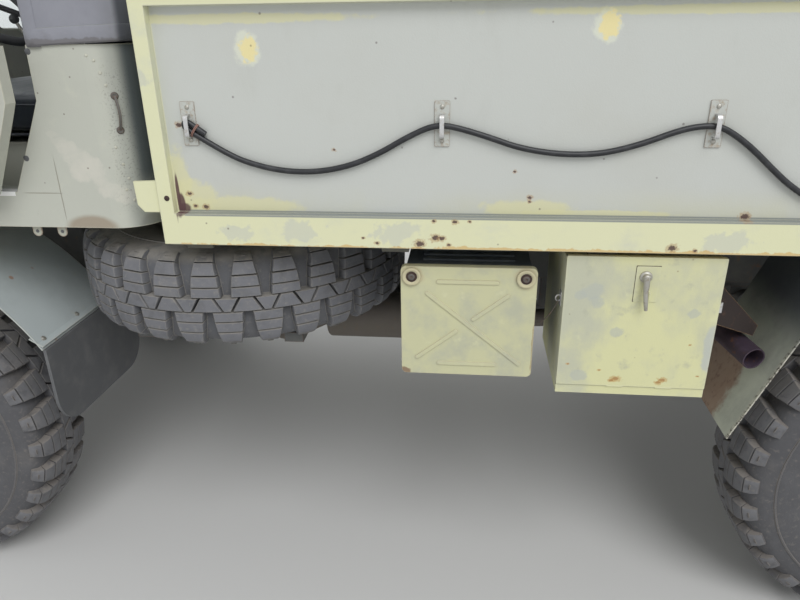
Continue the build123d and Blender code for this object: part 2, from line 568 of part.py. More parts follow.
# Bonnet: a wedge-shaped lid hinged along its rear edge
BONNET_REAR_X = COWL_TOP_X + 6
BONNET_HINGE = (COWL_TOP_X - 7, WAIST + 5 + SEAT_GAP)
bonnet_outline = ((BONNET_REAR_X, WAIST - 4), (NOSE_X + 20, NOSE_FRONT_TOP), (NOSE_X + 20, NOSE_FRONT_TOP - 34),
                  (BONNET_REAR_X, WAIST - 38))
with BuildPart() as bonnet:
    side_plate(bonnet_outline, -NOSE_HALF_WIDTH - 12, NOSE_HALF_WIDTH + 12)
    fillet(bonnet.edges().filter_by(Axis.X, tolerance=15).group_by(Axis.Z)[-1], 12)
    inner = ((BONNET_REAR_X + 6, WAIST - 10), (NOSE_X + 14, NOSE_FRONT_TOP - 5), (NOSE_X + 14, NOSE_FRONT_TOP - 60),
             (BONNET_REAR_X + 6, WAIST - 60))
    side_plate(inner, -NOSE_HALF_WIDTH - 6, NOSE_HALF_WIDTH + 6, Mode.SUBTRACT)
    block((BONNET_REAR_X - 1, BONNET_REAR_X + 7), (-NOSE_HALF_WIDTH - 6, NOSE_HALF_WIDTH + 6),
          (WAIST - 60, WAIST - 20), Mode.SUBTRACT)
    for y in (-420, 420):
        disc((BONNET_HINGE[0], y - 40, BONNET_HINGE[1]), (0, 1, 0), 5, 80)
        block((BONNET_HINGE[0], BONNET_REAR_X + 34), (y - 40, y + 40), (WAIST + 2, WAIST + 5))
        block((BONNET_REAR_X + 4, BONNET_REAR_X + 34), (y - 40, y + 40), (WAIST - 10, WAIST + 5))
save(bonnet, "bonnet")

# Windscreen frame on the scuttle, raked back, and its pane
rake = Vector(SCREEN_TOP_X - SCREEN_FOOT_X, 0, SCREEN_TOP_Z - WAIST)
screen_height = rake.length
up = rake.normalized()
screen_plane = Plane(origin=(SCREEN_FOOT_X, 0, WAIST), x_dir=(0, 1, 0), z_dir=(up.Z, 0, -up.X))
with BuildPart() as windscreen_frame:
    with BuildSketch(screen_plane):
        with Locations((0, screen_height / 2)):
            RectangleRounded(2 * SCREEN_HALF_WIDTH, screen_height, 50)
            with GridLocations(SCREEN_HALF_WIDTH, 1, 2, 1):
                RectangleRounded(SCREEN_HALF_WIDTH - 1.5 * SCREEN_TUBE, screen_height - 2 * SCREEN_TUBE, 40,
                                 mode=Mode.SUBTRACT)
    extrude(amount=SCREEN_TUBE / 2, both=True)
    block((1400, 1600), (-1000, 1000), (WAIST - 60, WAIST), Mode.SUBTRACT)
save(windscreen_frame, "windscreen_frame")
with BuildPart() as windscreen_glass:
    with BuildSketch(screen_plane):
        with Locations((0, screen_height / 2)):
            with GridLocations(SCREEN_HALF_WIDTH, 1, 2, 1):
                RectangleRounded(SCREEN_HALF_WIDTH - 1.5 * SCREEN_TUBE, screen_height - 2 * SCREEN_TUBE, 40)
    extrude(amount=GLASS / 2, both=True)
save(windscreen_glass, "windscreen_glass")

# Soft top: a hollow canvas shell with a rounded roof, open at the doors, the front and below
CANVAS_BOTTOM = 1505
CANVAS_REAR_X = CAB_REAR_X - SEAT_GAP - CANVAS
CANVAS_HALF = CAB_HALF_WIDTH + SEAT_GAP + CANVAS
QUARTER_EDGE_X = 748
VALANCE_Z = SCREEN_TOP_Z - 60
canvas_front = SCREEN_TOP_X + 30
roof_outline = ((CANVAS_REAR_X, CANVAS_BOTTOM), (CANVAS_REAR_X, ROOF_TOP - 60), (CANVAS_REAR_X + 420, ROOF_TOP),
                (canvas_front, SCREEN_TOP_Z + 60), (canvas_front, CANVAS_BOTTOM))
with BuildPart() as soft_top:
    side_plate(roof_outline, -CANVAS_HALF, CANVAS_HALF)
    fillet(soft_top.edges().filter_by(Axis.Z).group_by(Axis.X)[0], CAB_CORNER)
    fillet(soft_top.faces().sort_by(Axis.Z)[-2:].edges().filter_by(lambda e: abs(e.center().Y) > CANVAS_HALF - 5), 60)
    offset(amount=-CANVAS, openings=soft_top.faces().sort_by(Axis.Z)[0])
    block((canvas_front - 60, canvas_front + 40), (-CANVAS_HALF + CANVAS, CANVAS_HALF - CANVAS),
          (CANVAS_BOTTOM - 5, SCREEN_TOP_Z + 12), Mode.SUBTRACT)
    block((QUARTER_EDGE_X, canvas_front + 40), (-CANVAS_HALF - 5, CANVAS_HALF + 5),
          (CANVAS_BOTTOM - 5, VALANCE_Z), Mode.SUBTRACT)
save(soft_top, "soft_top")

# Half doors: folded sheet panels that follow the kinked opening; the left one stands a little ajar
DOOR_BARREL = 6
HINGE = (1468, CAB_HALF_WIDTH + DOOR_BARREL + SEAT_GAP)
door_bottom = SILL_TOP + DOOR_GAP
door_outline = ((HINGE[0] - 1464, door_bottom), (HINGE[0] - 1464, WAIST), (HINGE[0] - 761, WAIST),
                (HINGE[0] - 763, 1402), (HINGE[0] - 774, 1378), (HINGE[0] - 858, door_bottom))
for side_name, side in SIDES:
    ajar = radians(DOOR_AJAR if side == 1 else 0)
    door_plane = Plane(origin=(HINGE[0], HINGE[1], 0), x_dir=(-cos(ajar), sin(ajar), 0),
                       z_dir=(sin(ajar), cos(ajar), 0))
    skin_depth = HINGE[1] - CAB_HALF_WIDTH
    with BuildPart() as door:
        with BuildSketch(door_plane.offset(-skin_depth)):
            with BuildLine():
                Polyline(*door_outline, close=True)
            make_face()
        extrude(amount=-DOOR_THICKNESS)
        with BuildSketch(door_plane.offset(-skin_depth - DOOR_THICKNESS)):
            with BuildLine():
                Polyline(*door_outline, close=True)
            make_face()
            offset(amount=-22, mode=Mode.REPLACE)
        extrude(amount=DOOR_THICKNESS - SHEET, mode=Mode.SUBTRACT)
        for z in (1265, 1440):
            with BuildSketch(Plane(origin=(HINGE[0], HINGE[1], z))):
                Circle(DOOR_BARREL)
            extrude(amount=60)
            with BuildSketch(door_plane.offset(-skin_depth - 2)):
                with Locations((25, z + 30)):
                    Rectangle(50, 50)
            extrude(amount=4)
        if side == -1:
            mirror(about=Plane.XZ, mode=Mode.REPLACE)
    save(door, f"door_{side_name}")

# Seats: steel boxes on the floor with plain cushions and backs
SEAT_Y = CAB_HALF_WIDTH - 370
SEAT_WIDTH = 480
SEAT_BASE_TOP = 1285
CUSHION_TOP = SEAT_BASE_TOP + 145
SEAT_BACK_TOP = SEAT_BASE_TOP + 545
SEAT_BACK_KNEE = SEAT_BASE_TOP + 215
CUSHION_X = (740, 1170)
with BuildPart() as seat_bases:
    for _, side in SIDES:
        y = side * SEAT_Y
        block((720, 1120), (y - 215, y + 215), (FLOOR_TOP, SEAT_BASE_TOP))
save(seat_bases, "seat_bases")
with BuildPart() as seat_cushions:
    for _, side in SIDES:
        y = side * SEAT_Y
        block(CUSHION_X, (y - SEAT_WIDTH / 2, y + SEAT_WIDTH / 2), (SEAT_BASE_TOP + SEAT_GAP, CUSHION_TOP))
    fillet(seat_cushions.edges().filter_by(Axis.Y), 20)
save(seat_cushions, "seat_cushions")
with BuildPart() as seat_backs:
    for _, side in SIDES:
        y = side * SEAT_Y
        side_plate(((640, SEAT_BASE_TOP + SEAT_GAP), (735, SEAT_BASE_TOP + SEAT_GAP), (735, SEAT_BACK_KNEE),
                    (690, SEAT_BACK_TOP), (600, SEAT_BACK_TOP)),
                   y - SEAT_WIDTH / 2, y + SEAT_WIDTH / 2)
save(seat_backs, "seat_backs")

# Steering wheel and column on the left
with BuildPart() as steering_wheel:
    wheel_plane = Plane(origin=WHEEL_CENTRE, x_dir=(0, 1, 0), z_dir=COLUMN)
    disc(WHEEL_CENTRE, COLUMN, COLUMN_RADIUS, COLUMN.length)
    with BuildSketch(Plane(origin=WHEEL_CENTRE + wheel_plane.x_dir * 200, x_dir=wheel_plane.z_dir,
                           z_dir=wheel_plane.y_dir)):
        Circle(12)
    revolve(axis=Axis(WHEEL_CENTRE, COLUMN))
    with BuildSketch(wheel_plane):
        Circle(45)
        with PolarLocations(100, 3, start_angle=90):
            Rectangle(200, 22)
    extrude(amount=8)
save(steering_wheel, "steering_wheel")

# Mirrors on arms from the windscreen posts
with BuildPart() as mirrors:
    for _, side in SIDES:
        for z in (1700, 1900):
            post_x = SCREEN_FOOT_X + (SCREEN_TOP_X - SCREEN_FOOT_X) * (z - WAIST) / (SCREEN_TOP_Z - WAIST)
            start = (post_x, side * (SCREEN_HALF_WIDTH + 3.5), z)
            end = Vector(1560, side * 1060, 1800 + (z - 1800) * 0.8)
            run = end - Vector(*start)
            disc(start, run, 7, run.length)
        mirror_y = sorted((side * 1030, side * 1150))
        block((1552, 1572), mirror_y, (1690, 1910))
save(mirrors, "mirrors")

# Cargo floor: sheet, cross bearers and the two long sills on the frame
SILL_FRONT_X = -30
with BuildPart() as bed_floor:
    block((BED_REAR_X + TAILGATE_THICKNESS, BED_FRONT_X - SIDE_DEPTH), (-floor_half, floor_half),
          (FLOOR_BOTTOM, BED_RAIL_TOP))
    for x in BEARER_X:
        block((x - BEARER_WIDTH / 2, x + BEARER_WIDTH / 2), (-floor_half, floor_half), (BEARER_BOTTOM, FLOOR_BOTTOM))
    for _, side in SIDES:
        y = side * (RAIL_OUTER_Y - 30)
        block((BED_REAR_X + 40, SILL_FRONT_X - 170), (y - 30, y + 30), (RAIL_REAR_TOP, BEARER_BOTTOM))
    y = -RAIL_OUTER_Y + 30
    block((SILL_FRONT_X - 170, BED_FRONT_X - 40), (y - 30, y + 30), (BEARER_BOTTOM - 80, BEARER_BOTTOM))
    block((60, 120), (y - 30, y + 30), (RAIL_FRONT_TOP, BEARER_BOTTOM))
    y = RAIL_OUTER_Y - 30
    block((SILL_FRONT_X - 170, SILL_FRONT_X), (y - 30, y + 30), (BEARER_BOTTOM - 80, BEARER_BOTTOM))
    for y in TAILGATE_HINGE_Y:
        disc((TAILGATE_HINGE[0], y + 45 + SEAT_GAP, TAILGATE_HINGE[1]), (0, 1, 0), BARREL_RADIUS, 30)
        block((TAILGATE_HINGE[0], BED_REAR_X + TAILGATE_THICKNESS), (y + 45 + SEAT_GAP, y + 75 + SEAT_GAP),
              (TAILGATE_HINGE[1] - BARREL_RADIUS, TAILGATE_HINGE[1]))
save(bed_floor, "bed_floor")


def framed_panel(x, y, z, face, recess, inner_recess, rails):
    """A sheet in a frame: a block with a pocket on each face. rails gives front, rear, low and high widths."""
    block(x, y, z)
    front, rear, low, high = rails
    pocket_x = (x[0] + rear, x[1] - front)
    pocket_z = (z[0] + low, z[1] - high)
    outside = y[1] if face > 0 else y[0]
    inside = y[0] if face > 0 else y[1]
    block(pocket_x, sorted((outside, outside - face * recess)), pocket_z, Mode.SUBTRACT)
    block(pocket_x, sorted((inside, inside + face * inner_recess)), pocket_z, Mode.SUBTRACT)


# Cargo body sides: recessed sheet between posts, a bottom rail and a top rail, with a tab at the front
inner_recess = SIDE_DEPTH - PANEL_RECESS - SHEET
for side_name, side in SIDES:
    with BuildPart() as bed_side:
        y = sorted((side * (BED_HALF_WIDTH - SIDE_DEPTH), side * BED_HALF_WIDTH))
        framed_panel((BED_REAR_X, BED_FRONT_X), y, (BED_RAIL_BOTTOM, BED_TOP), side, PANEL_RECESS, inner_recess,
                     (POST_WIDTH, POST_WIDTH, BED_RAIL_TOP - BED_RAIL_BOTTOM, TOP_RAIL_HEIGHT))
        tab = sorted((side * (BED_HALF_WIDTH - 14), side * (BED_HALF_WIDTH - 6)))
        side_plate(((BED_FRONT_X, 1166), (BED_FRONT_X + 38, 1166), (BED_FRONT_X + 52, 1182),
                    (BED_FRONT_X + 54, 1234), (BED_FRONT_X, 1236)), *tab)
    save(bed_side, f"bed_side_{side_name}")

# Front wall of the cargo body
with BuildPart() as bed_front:
    wall_y = (-floor_half, floor_half)
    block((BED_FRONT_X - SIDE_DEPTH, BED_FRONT_X), wall_y, (BED_RAIL_BOTTOM, BED_TOP))
    pocket = (-floor_half + POST_WIDTH, floor_half - POST_WIDTH)
    pocket_z = (BED_RAIL_TOP, BED_TOP - TOP_RAIL_HEIGHT)
    block((BED_FRONT_X - PANEL_RECESS, BED_FRONT_X), pocket, pocket_z, Mode.SUBTRACT)
    block((BED_FRONT_X - SIDE_DEPTH, BED_FRONT_X - SIDE_DEPTH + inner_recess), pocket, pocket_z, Mode.SUBTRACT)
save(bed_front, "bed_front")

# Tailgate on barrels below its lower edge
gate_half = floor_half - MOVING_GAP
with BuildPart() as tailgate:
    gate_z = (BED_RAIL_TOP + MOVING_GAP, BED_TOP)
    gate_x = (BED_REAR_X, BED_REAR_X + TAILGATE_THICKNESS)
    block(gate_x, (-gate_half, gate_half), gate_z)
    pocket = (-gate_half + 40, gate_half - 40)
    pocket_z = (gate_z[0] + 45, gate_z[1] - TOP_RAIL_HEIGHT)
    block((gate_x[0], gate_x[0] + 15), pocket, pocket_z, Mode.SUBTRACT)
    block((gate_x[1] - 12, gate_x[1]), pocket, pocket_z, Mode.SUBTRACT)
    for y in TAILGATE_HINGE_Y:
        disc((TAILGATE_HINGE[0], y - 45, TAILGATE_HINGE[1]), (0, 1, 0), BARREL_RADIUS, 90)
        block((BED_REAR_X - 6, BED_REAR_X), (y - 45, y + 45), (TAILGATE_HINGE[1], gate_z[0] + 60))
save(tailgate, "tailgate")

# Staples along both sides: a plate with an upright strap that stands off it
PLATE_WIDTH = 31
PLATE_HEIGHT = 90
STAPLE_Z = 1355
STRAP_WIDTH = 9
STRAP_HEIGHT = 46
STRAP_STAND = 21
panel_y = BED_HALF_WIDTH - PANEL_RECESS
with BuildPart() as staples:
    for _, side in SIDES:
        for number in range(STAPLE_COUNT):
            x = BED_FRONT_X - STAPLE_MARGIN - number * STAPLE_PITCH
            plate = sorted((side * panel_y, side * (panel_y + 3)))
            strap = sorted((side * (panel_y + 2), side * (panel_y + STRAP_STAND)))
            gap = sorted((side * (panel_y + 3), side * (panel_y + STRAP_STAND - 4)))
            block((x - PLATE_WIDTH / 2, x + PLATE_WIDTH / 2), plate,
                  (STAPLE_Z - PLATE_HEIGHT / 2, STAPLE_Z + PLATE_HEIGHT / 2))
            block((x - STRAP_WIDTH / 2, x + STRAP_WIDTH / 2), strap,
                  (STAPLE_Z - STRAP_HEIGHT / 2 - 4, STAPLE_Z + STRAP_HEIGHT / 2 - 4))
            block((x - STRAP_WIDTH, x + STRAP_WIDTH), gap,
                  (STAPLE_Z - STRAP_HEIGHT / 2, STAPLE_Z + STRAP_HEIGHT / 2 - 8), Mode.SUBTRACT)
save(staples, "staples")

# Battery box, open to the front, and its screwed cover with pressed ribs
BOX_WALL = 3
BATTERY_BACK_Y = 620
box_x = (BATTERY_X[0] + 5, BATTERY_X[1] - 5)
box_z = (BATTERY_Z[0] + 12, BATTERY_Z[1] + 12)
COVER_DEPTH = 20
cover_back = BATTERY_FACE_Y - COVER_DEPTH
with BuildPart() as battery_box:
    block(box_x, (BATTERY_BACK_Y, cover_back), box_z)
    block((box_x[0] + BOX_WALL, box_x[1] - BOX_WALL), (BATTERY_BACK_Y + BOX_WALL, cover_back),
          (box_z[0] + BOX_WALL, box_z[1] - BOX_WALL), Mode.SUBTRACT)
    for x in (box_x[0] + 30, box_x[1] - 30):
        block((x - 15, x + 15), (BATTERY_BACK_Y, cover_back - 40), (box_z[1], FLOOR_BOTTOM))
save(battery_box, "battery_box")
cover_centre = ((BATTERY_X[0] + BATTERY_X[1]) / 2, (BATTERY_Z[0] + BATTERY_Z[1]) / 2)
cover_size = (BATTERY_X[1] - BATTERY_X[0], BATTERY_Z[1] - BATTERY_Z[0])
RIB_HEIGHT = 3
with BuildPart() as battery_cover:
    with BuildSketch(Plane.XZ.offset(-BATTERY_FACE_Y)):
        with Locations(cover_centre):
            RectangleRounded(*cover_size, 14)
    extrude(amount=COVER_DEPTH - SEAT_GAP)
    with BuildSketch(Plane.XZ.offset(-cover_back)):
        with Locations(cover_centre):
            Rectangle(cover_size[0] - 2 * BOX_WALL, cover_size[1] - 2 * BOX_WALL)
    extrude(amount=-(COVER_DEPTH - BOX_WALL), mode=Mode.SUBTRACT)
    with BuildSketch(Plane.XZ.offset(-BATTERY_FACE_Y)):
        with Locations(cover_centre):
            with Locations(Location((0, -5, 0), (0, 0, 41)), Location((0, -5, 0), (0, 0, -41))):
                SlotOverall(290, 9)
            with Locations((0, 104), (0, -110)):
                SlotOverall(130, 9)
    extrude(amount=-RIB_HEIGHT)
    with BuildSketch(Plane.XZ.offset(-BATTERY_FACE_Y)):
        with Locations((cover_centre[0] - 128, BATTERY_Z[1] - 24), (cover_centre[0] + 128, BATTERY_Z[1] - 24)):
            Circle(17)
    extrude(amount=-4)
save(battery_cover, "battery_cover")

# Toolbox, open to the front above a low lip, and its drop-down door with the latch
door_plane_y = TOOLBOX_FACE_Y - 12
TOOL_HINGE = (TOOLBOX_FACE_Y + 4, TOOLBOX_Z[0] + 22)
with BuildPart() as toolbox:
    block(TOOLBOX_X, (TOOLBOX_BACK_Y, door_plane_y - SEAT_GAP), TOOLBOX_Z)
    block((TOOLBOX_X[0] + BOX_WALL, TOOLBOX_X[1] - BOX_WALL), (TOOLBOX_BACK_Y + BOX_WALL, door_plane_y),
          (TOOLBOX_Z[0] + BOX_WALL, TOOLBOX_Z[1] - BOX_WALL), Mode.SUBTRACT)
    block(TOOLBOX_X, (door_plane_y - 10, TOOLBOX_FACE_Y - 3), (TOOLBOX_Z[0], TOOL_HINGE[1] - 1))
save(toolbox, "toolbox")
latch_x = TOOLBOX_X[1] - 168
with BuildPart() as toolbox_door:
    door_z = (TOOL_HINGE[1] + 1, TOOLBOX_Z[1] - 2)
    block(TOOLBOX_X, (door_plane_y, TOOLBOX_FACE_Y), door_z)
    block((TOOLBOX_X[0] + 12, TOOLBOX_X[1] - 12), (door_plane_y, TOOLBOX_FACE_Y - SHEET),
          (door_z[0] + 14, door_z[1] - 12), Mode.SUBTRACT)
    for x in (TOOLBOX_X[0] + 60, TOOLBOX_X[1] - 60):
        disc((x - 25, TOOL_HINGE[0], TOOL_HINGE[1]), (1, 0, 0), 5, 50)
    block((latch_x - 24, latch_x + 24), (TOOLBOX_FACE_Y, TOOLBOX_FACE_Y + 2), (975, 1056))
    disc((latch_x, TOOLBOX_FACE_Y, 1030), (0, 1, 0), 9, 16)
    block((latch_x - 6, latch_x + 6), (TOOLBOX_FACE_Y + 10, TOOLBOX_FACE_Y + 16), (965, 1034))
save(toolbox_door, "toolbox_door")

# Rear mudguards: flat plates folded over the rear wheels, hung from the bearers
GUARD_TOP = 1050
guard_line = ((REAR_AXLE_X + 540, 624), (REAR_AXLE_X + 362, GUARD_TOP), (REAR_AXLE_X - 362, GUARD_TOP),
              (REAR_AXLE_X - 540, 624))
with BuildPart() as mudguards:
    for _, side in SIDES:
        with BuildSketch(Plane.XZ.offset(-side * 660)):
            with BuildLine():
                Polyline(*guard_line)
                offset(amount=SHEET, side=Side.LEFT)
            make_face()
        extrude(amount=-side * 305)
        for x in (REAR_AXLE_X + 330, REAR_AXLE_X - 330):
            legs = sorted((side * 700, side * 740))
            block((x - 20, x + 20), legs, (GUARD_TOP, FLOOR_BOTTOM))
            outer_legs = sorted((side * 900, side * 940))
            block((x - 20, x + 20), outer_legs, (GUARD_TOP, FLOOR_BOTTOM))
save(mudguards, "mudguards")

# Tail lamps in small housings under the rear corners
with BuildPart() as tail_lamps:
    for _, side in SIDES:
        y = sorted((side * 780, side * 940))
        block((BED_REAR_X + 4, BED_REAR_X + 60), y, (BEARER_BOTTOM - 90, BEARER_BOTTOM))
save(tail_lamps, "tail_lamps")

# Rubber cord that hangs from staple to staple along the left side
cord_route = (
    (432, 1359), (404, 1340), (380, 1322), (333, 1294), (293, 1276), (224, 1259), (149, 1256), (73, 1270), (9, 1297),
    (-43, 1327), (-90, 1349), (-118, 1353), (-146, 1349), (-209, 1331), (-275, 1308), (-355, 1296),
    (-434, 1297), (-509, 1316), (-582, 1345), (-628, 1353), (-660, 1350), (-699, 1326), (-731, 1301),
    (-767, 1269), (-808, 1235), (-858, 1206), (-918, 1194), (-978, 1204), (-1030, 1232), (-1075, 1270),
    (-1115, 1306), (-1150, 1334), (-1180, 1352), (-1204, 1359),
)
cord_points = [(x, CORD_Y, z) for x, z in cord_route]
cord_radii = []
for before, here, after in zip(cord_points, cord_points[1:], cord_points[2:]):
    first = Vector(*here) - Vector(*before)
    second = Vector(*after) - Vector(*here)
    turn = radians(first.get_angle(second))
    cord_radii.append(0.45 * min(first.length, second.length) / tan(turn / 2))
print("cord radii", [round(radius) for radius in cord_radii])
with BuildPart() as cord:
    with BuildLine() as cord_line:
        FilletPolyline(*cord_points, radius=cord_radii)
    with BuildSketch(Plane(origin=cord_line.line @ 0, z_dir=cord_line.line % 0)):
        Circle(CORD_DIAMETER / 2)
    sweep(path=cord_line.line)
cord_length = sum(edge.length for edge in cord_line.edges())
print("cord length", round(cord_length), "volume ratio",
      round(cord.part.volume / (pi * (CORD_DIAMETER / 2) ** 2 * cord_length), 4))
save(cord, "cord_tube")
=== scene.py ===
from math import cos, pi, radians, sin
import bmesh
import bpy
import numpy as np
from mathutils import Matrix, Vector


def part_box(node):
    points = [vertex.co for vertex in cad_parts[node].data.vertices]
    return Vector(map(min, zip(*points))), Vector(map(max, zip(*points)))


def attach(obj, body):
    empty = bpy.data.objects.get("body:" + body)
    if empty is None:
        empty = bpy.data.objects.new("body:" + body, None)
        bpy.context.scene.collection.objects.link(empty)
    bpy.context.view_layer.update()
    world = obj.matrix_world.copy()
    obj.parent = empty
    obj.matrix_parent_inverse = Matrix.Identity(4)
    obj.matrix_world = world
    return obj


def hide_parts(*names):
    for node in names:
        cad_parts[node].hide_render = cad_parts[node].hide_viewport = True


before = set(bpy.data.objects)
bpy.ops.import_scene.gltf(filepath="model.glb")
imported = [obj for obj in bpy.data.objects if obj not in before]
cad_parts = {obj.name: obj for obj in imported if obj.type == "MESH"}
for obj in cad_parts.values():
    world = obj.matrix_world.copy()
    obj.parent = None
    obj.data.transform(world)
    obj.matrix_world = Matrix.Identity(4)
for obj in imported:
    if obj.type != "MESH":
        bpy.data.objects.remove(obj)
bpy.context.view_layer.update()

# Camera: the spot beside the truck from which the photograph was taken, at eye height and looking a
# little down, with the lens that the truck's straight edges gave.
yaw, pitch, roll = radians(-6.1301), radians(22.9391), radians(0.8294)
ahead = Vector((-sin(yaw) * cos(pitch), -cos(yaw) * cos(pitch), -sin(pitch)))
across = Vector((-cos(yaw), sin(yaw), 0))
below = ahead.cross(across)
right = across * cos(roll) + below * sin(roll)
down = below * cos(roll) - across * sin(roll)
camera = bpy.data.objects.new("camera", bpy.data.cameras.new("camera"))
camera.data.sensor_width = 36
camera.data.lens = 29.25
camera.data.clip_end = 200
camera.matrix_world = Matrix((right, -down, -ahead)).transposed().to_4x4()
camera.matrix_world.translation = (-0.172, 2.330, 1.540)
bpy.context.scene.collection.objects.link(camera)
bpy.context.scene.camera = camera

# Rubber cord along the left cargo side: a black cord as thick as a finger, passed behind the staples'
# straps. It hangs in long sags between them, and at each end it is looped back and held by a wire clamp.
CORD_RADIUS, CORD_Y = 0.006, 0.9892
LOOP_RADIUS = 0.0068
STAPLES_X = (0.412, -0.118, -0.648, -1.178)
cord_route = [
    (0.398, 1.333), (0.380, 1.322), (0.333, 1.294), (0.293, 1.276), (0.224, 1.259), (0.149, 1.256),
    (0.073, 1.270), (0.009, 1.297), (-0.043, 1.327), (-0.090, 1.349), (-0.118, 1.353), (-0.146, 1.349),
    (-0.209, 1.331), (-0.275, 1.308), (-0.355, 1.296), (-0.434, 1.297), (-0.509, 1.316), (-0.582, 1.345),
    (-0.628, 1.353), (-0.660, 1.350), (-0.699, 1.326), (-0.731, 1.301), (-0.767, 1.269), (-0.808, 1.235),
    (-0.858, 1.206), (-0.918, 1.194), (-0.978, 1.204), (-1.030, 1.232), (-1.075, 1.270), (-1.115, 1.306),
    (-1.150, 1.334),
]


class Finish:
    """A coat whose colour, roughness and relief each start even, and take one more layer per call."""

    def __init__(self, name, colour, roughness, metallic=0.0, sheen=0.0):
        self.material = bpy.data.materials.new(name)
        self.material.use_nodes = True
        self.tree = self.material.node_tree
        self.shader = self.tree.nodes["Principled BSDF"]
        self.shader.inputs["Metallic"].default_value = metallic
        self.shader.inputs["Sheen Weight"].default_value = sheen
        self.place = self.node("ShaderNodeTexCoord").outputs["Object"]
        self.colour = (*colour, 1)
        self.roughness = roughness
        self.relief = 0.0

    def node(self, kind, inputs=None, **settings):
        """One shader node; an input takes a number, a colour or another node's output."""
        made = self.tree.nodes.new(kind)
        for key, value in settings.items():
            setattr(made, key, value)
        for key, value in (inputs or {}).items():
            if isinstance(value, bpy.types.NodeSocket):
                self.tree.links.new(value, made.inputs[key])
            else:
                made.inputs[key].default_value = value
        return made

    def sum(self, operation, a, b=0.0, c=0.0):
        """One step of arithmetic on a, b and c."""
        return self.node("ShaderNodeMath", {0: a, 1: b, 2: c}, operation=operation).outputs[0]

    def fade(self, value, low, high):
        """0 below low, 1 above high, and smooth between."""
        return self.node("ShaderNodeMapRange", {"Value": value, "From Min": low, "From Max": high},
                         interpolation_type="SMOOTHSTEP").outputs[0]

    def grain(self, size, detail=4.0, stretch=(1, 1, 1), rough=0.6):
        """Cloudy noise from 0 to 1 whose lumps are about size metres across, times stretch."""
        scale = [1 / (size * s) for s in stretch]
        spread = self.node("ShaderNodeMapping", {"Vector": self.place, "Scale": scale}).outputs[0]
        return self.node("ShaderNodeTexNoise", {"Vector": spread, "Scale": 1.0, "Detail": detail,
                                                "Roughness": rough}).outputs["Fac"]

    def flecks(self, size, share):
        """Round flecks: 1 in the middle of a share of the cells of a mesh size metres wide."""
        cells = self.node("ShaderNodeTexVoronoi", {"Vector": self.place, "Scale": 1 / size})
        chosen = self.node("ShaderNodeSeparateColor", {0: cells.outputs["Color"]}).outputs[0]
        near = self.fade(cells.outputs["Distance"], 0.28, 0.12)
        return self.sum("MULTIPLY", near, self.sum("LESS_THAN", chosen, share))

    def spot(self, centre, reach, ragged, size=0.03):
        """1 inside an ellipsoid with half axes reach round centre, 0 outside, with a ragged rim:
        length((place - centre) / reach) + 4 * ragged * (noise - 0.5), faded from 1.15 to 0.75."""
        lean = self.node("ShaderNodeVectorMath", {0: self.place, 1: centre}, operation="SUBTRACT").outputs[0]
        flat = self.node("ShaderNodeVectorMath", {0: lean, 1: reach}, operation="DIVIDE").outputs[0]
        away = self.node("ShaderNodeVectorMath", {0: flat}, operation="LENGTH").outputs["Value"]
        rim = self.sum("MULTIPLY_ADD", self.grain(size), 4 * ragged, -2 * ragged)
        return self.fade(self.sum("ADD", away, rim), 1.15, 0.75)

    def along(self, axis, low, high):
        """0 to 1 as the place goes from low to high on axis 0, 1 or 2."""
        return self.fade(self.node("ShaderNodeSeparateXYZ", {0: self.place}).outputs[axis], low, high)

    def lay(self, mask, colour=None, roughness=None, strength=1.0, height=None):
        """Colour, roughness or relief over the coat wherever mask is 1, at the given strength."""
        if strength != 1.0:
            mask = self.sum("MULTIPLY", mask, strength)
        if colour is not None:
            self.colour = self.node("ShaderNodeMix", {0: mask, 6: self.colour, 7: (*colour, 1)},
                                    data_type="RGBA").outputs[2]
        if roughness is not None:
            self.roughness = self.node("ShaderNodeMix", {0: mask, 2: self.roughness, 3: roughness}).outputs[0]
        if height is not None:
            self.relief = self.sum("MULTIPLY_ADD", mask, height, self.relief)
        return self

    def both(self, *masks):
        """1 only where every mask is 1: their product."""
        product = masks[0]
        for mask in masks[1:]:
            product = self.sum("MULTIPLY", product, mask)
        return product

    def cloud(self, size, detail, low, high, colour, roughness, strength, stretch=(1, 1, 1)):
        """A layer in clouds: the grain of size metres, faded from low to high."""
        return self.lay(self.fade(self.grain(size, detail, stretch), low, high), colour, roughness, strength)

    def patch(self, centre, reach, ragged, size, colour, roughness, strength=1.0):
        """A layer on one spot."""
        return self.lay(self.spot(centre, reach, ragged, size), colour, roughness, strength)

    def shade(self, axis, low, high, colour, roughness, strength):
        """A layer that grows as the place goes from low to high on one axis."""
        return self.lay(self.along(axis, low, high), colour, roughness, strength)

    def specks(self, size, share, colour, roughness, strength):
        """A layer in round flecks."""
        return self.lay(self.flecks(size, share), colour, roughness, strength)

    def bumps(self, size, detail, height):
        """Relief: the grain of size metres, height metres deep."""
        return self.lay(self.grain(size, detail), height=height)

    def rubbed(self, reach, colour, roughness, strength):
        """A layer where the sharp edges are rubbed."""
        return self.lay(self.edges(reach), colour, roughness, strength)

    def edges(self, reach):
        """1 along sharp edges: how far the surface turns within reach metres."""
        soft = self.node("ShaderNodeBevel", {"Radius": reach}, samples=6).outputs[0]
        flat = self.node("ShaderNodeNewGeometry").outputs["Normal"]
        alike = self.node("ShaderNodeVectorMath", {0: soft, 1: flat}, operation="DOT_PRODUCT").outputs["Value"]
        return self.fade(alike, 0.995, 0.93)

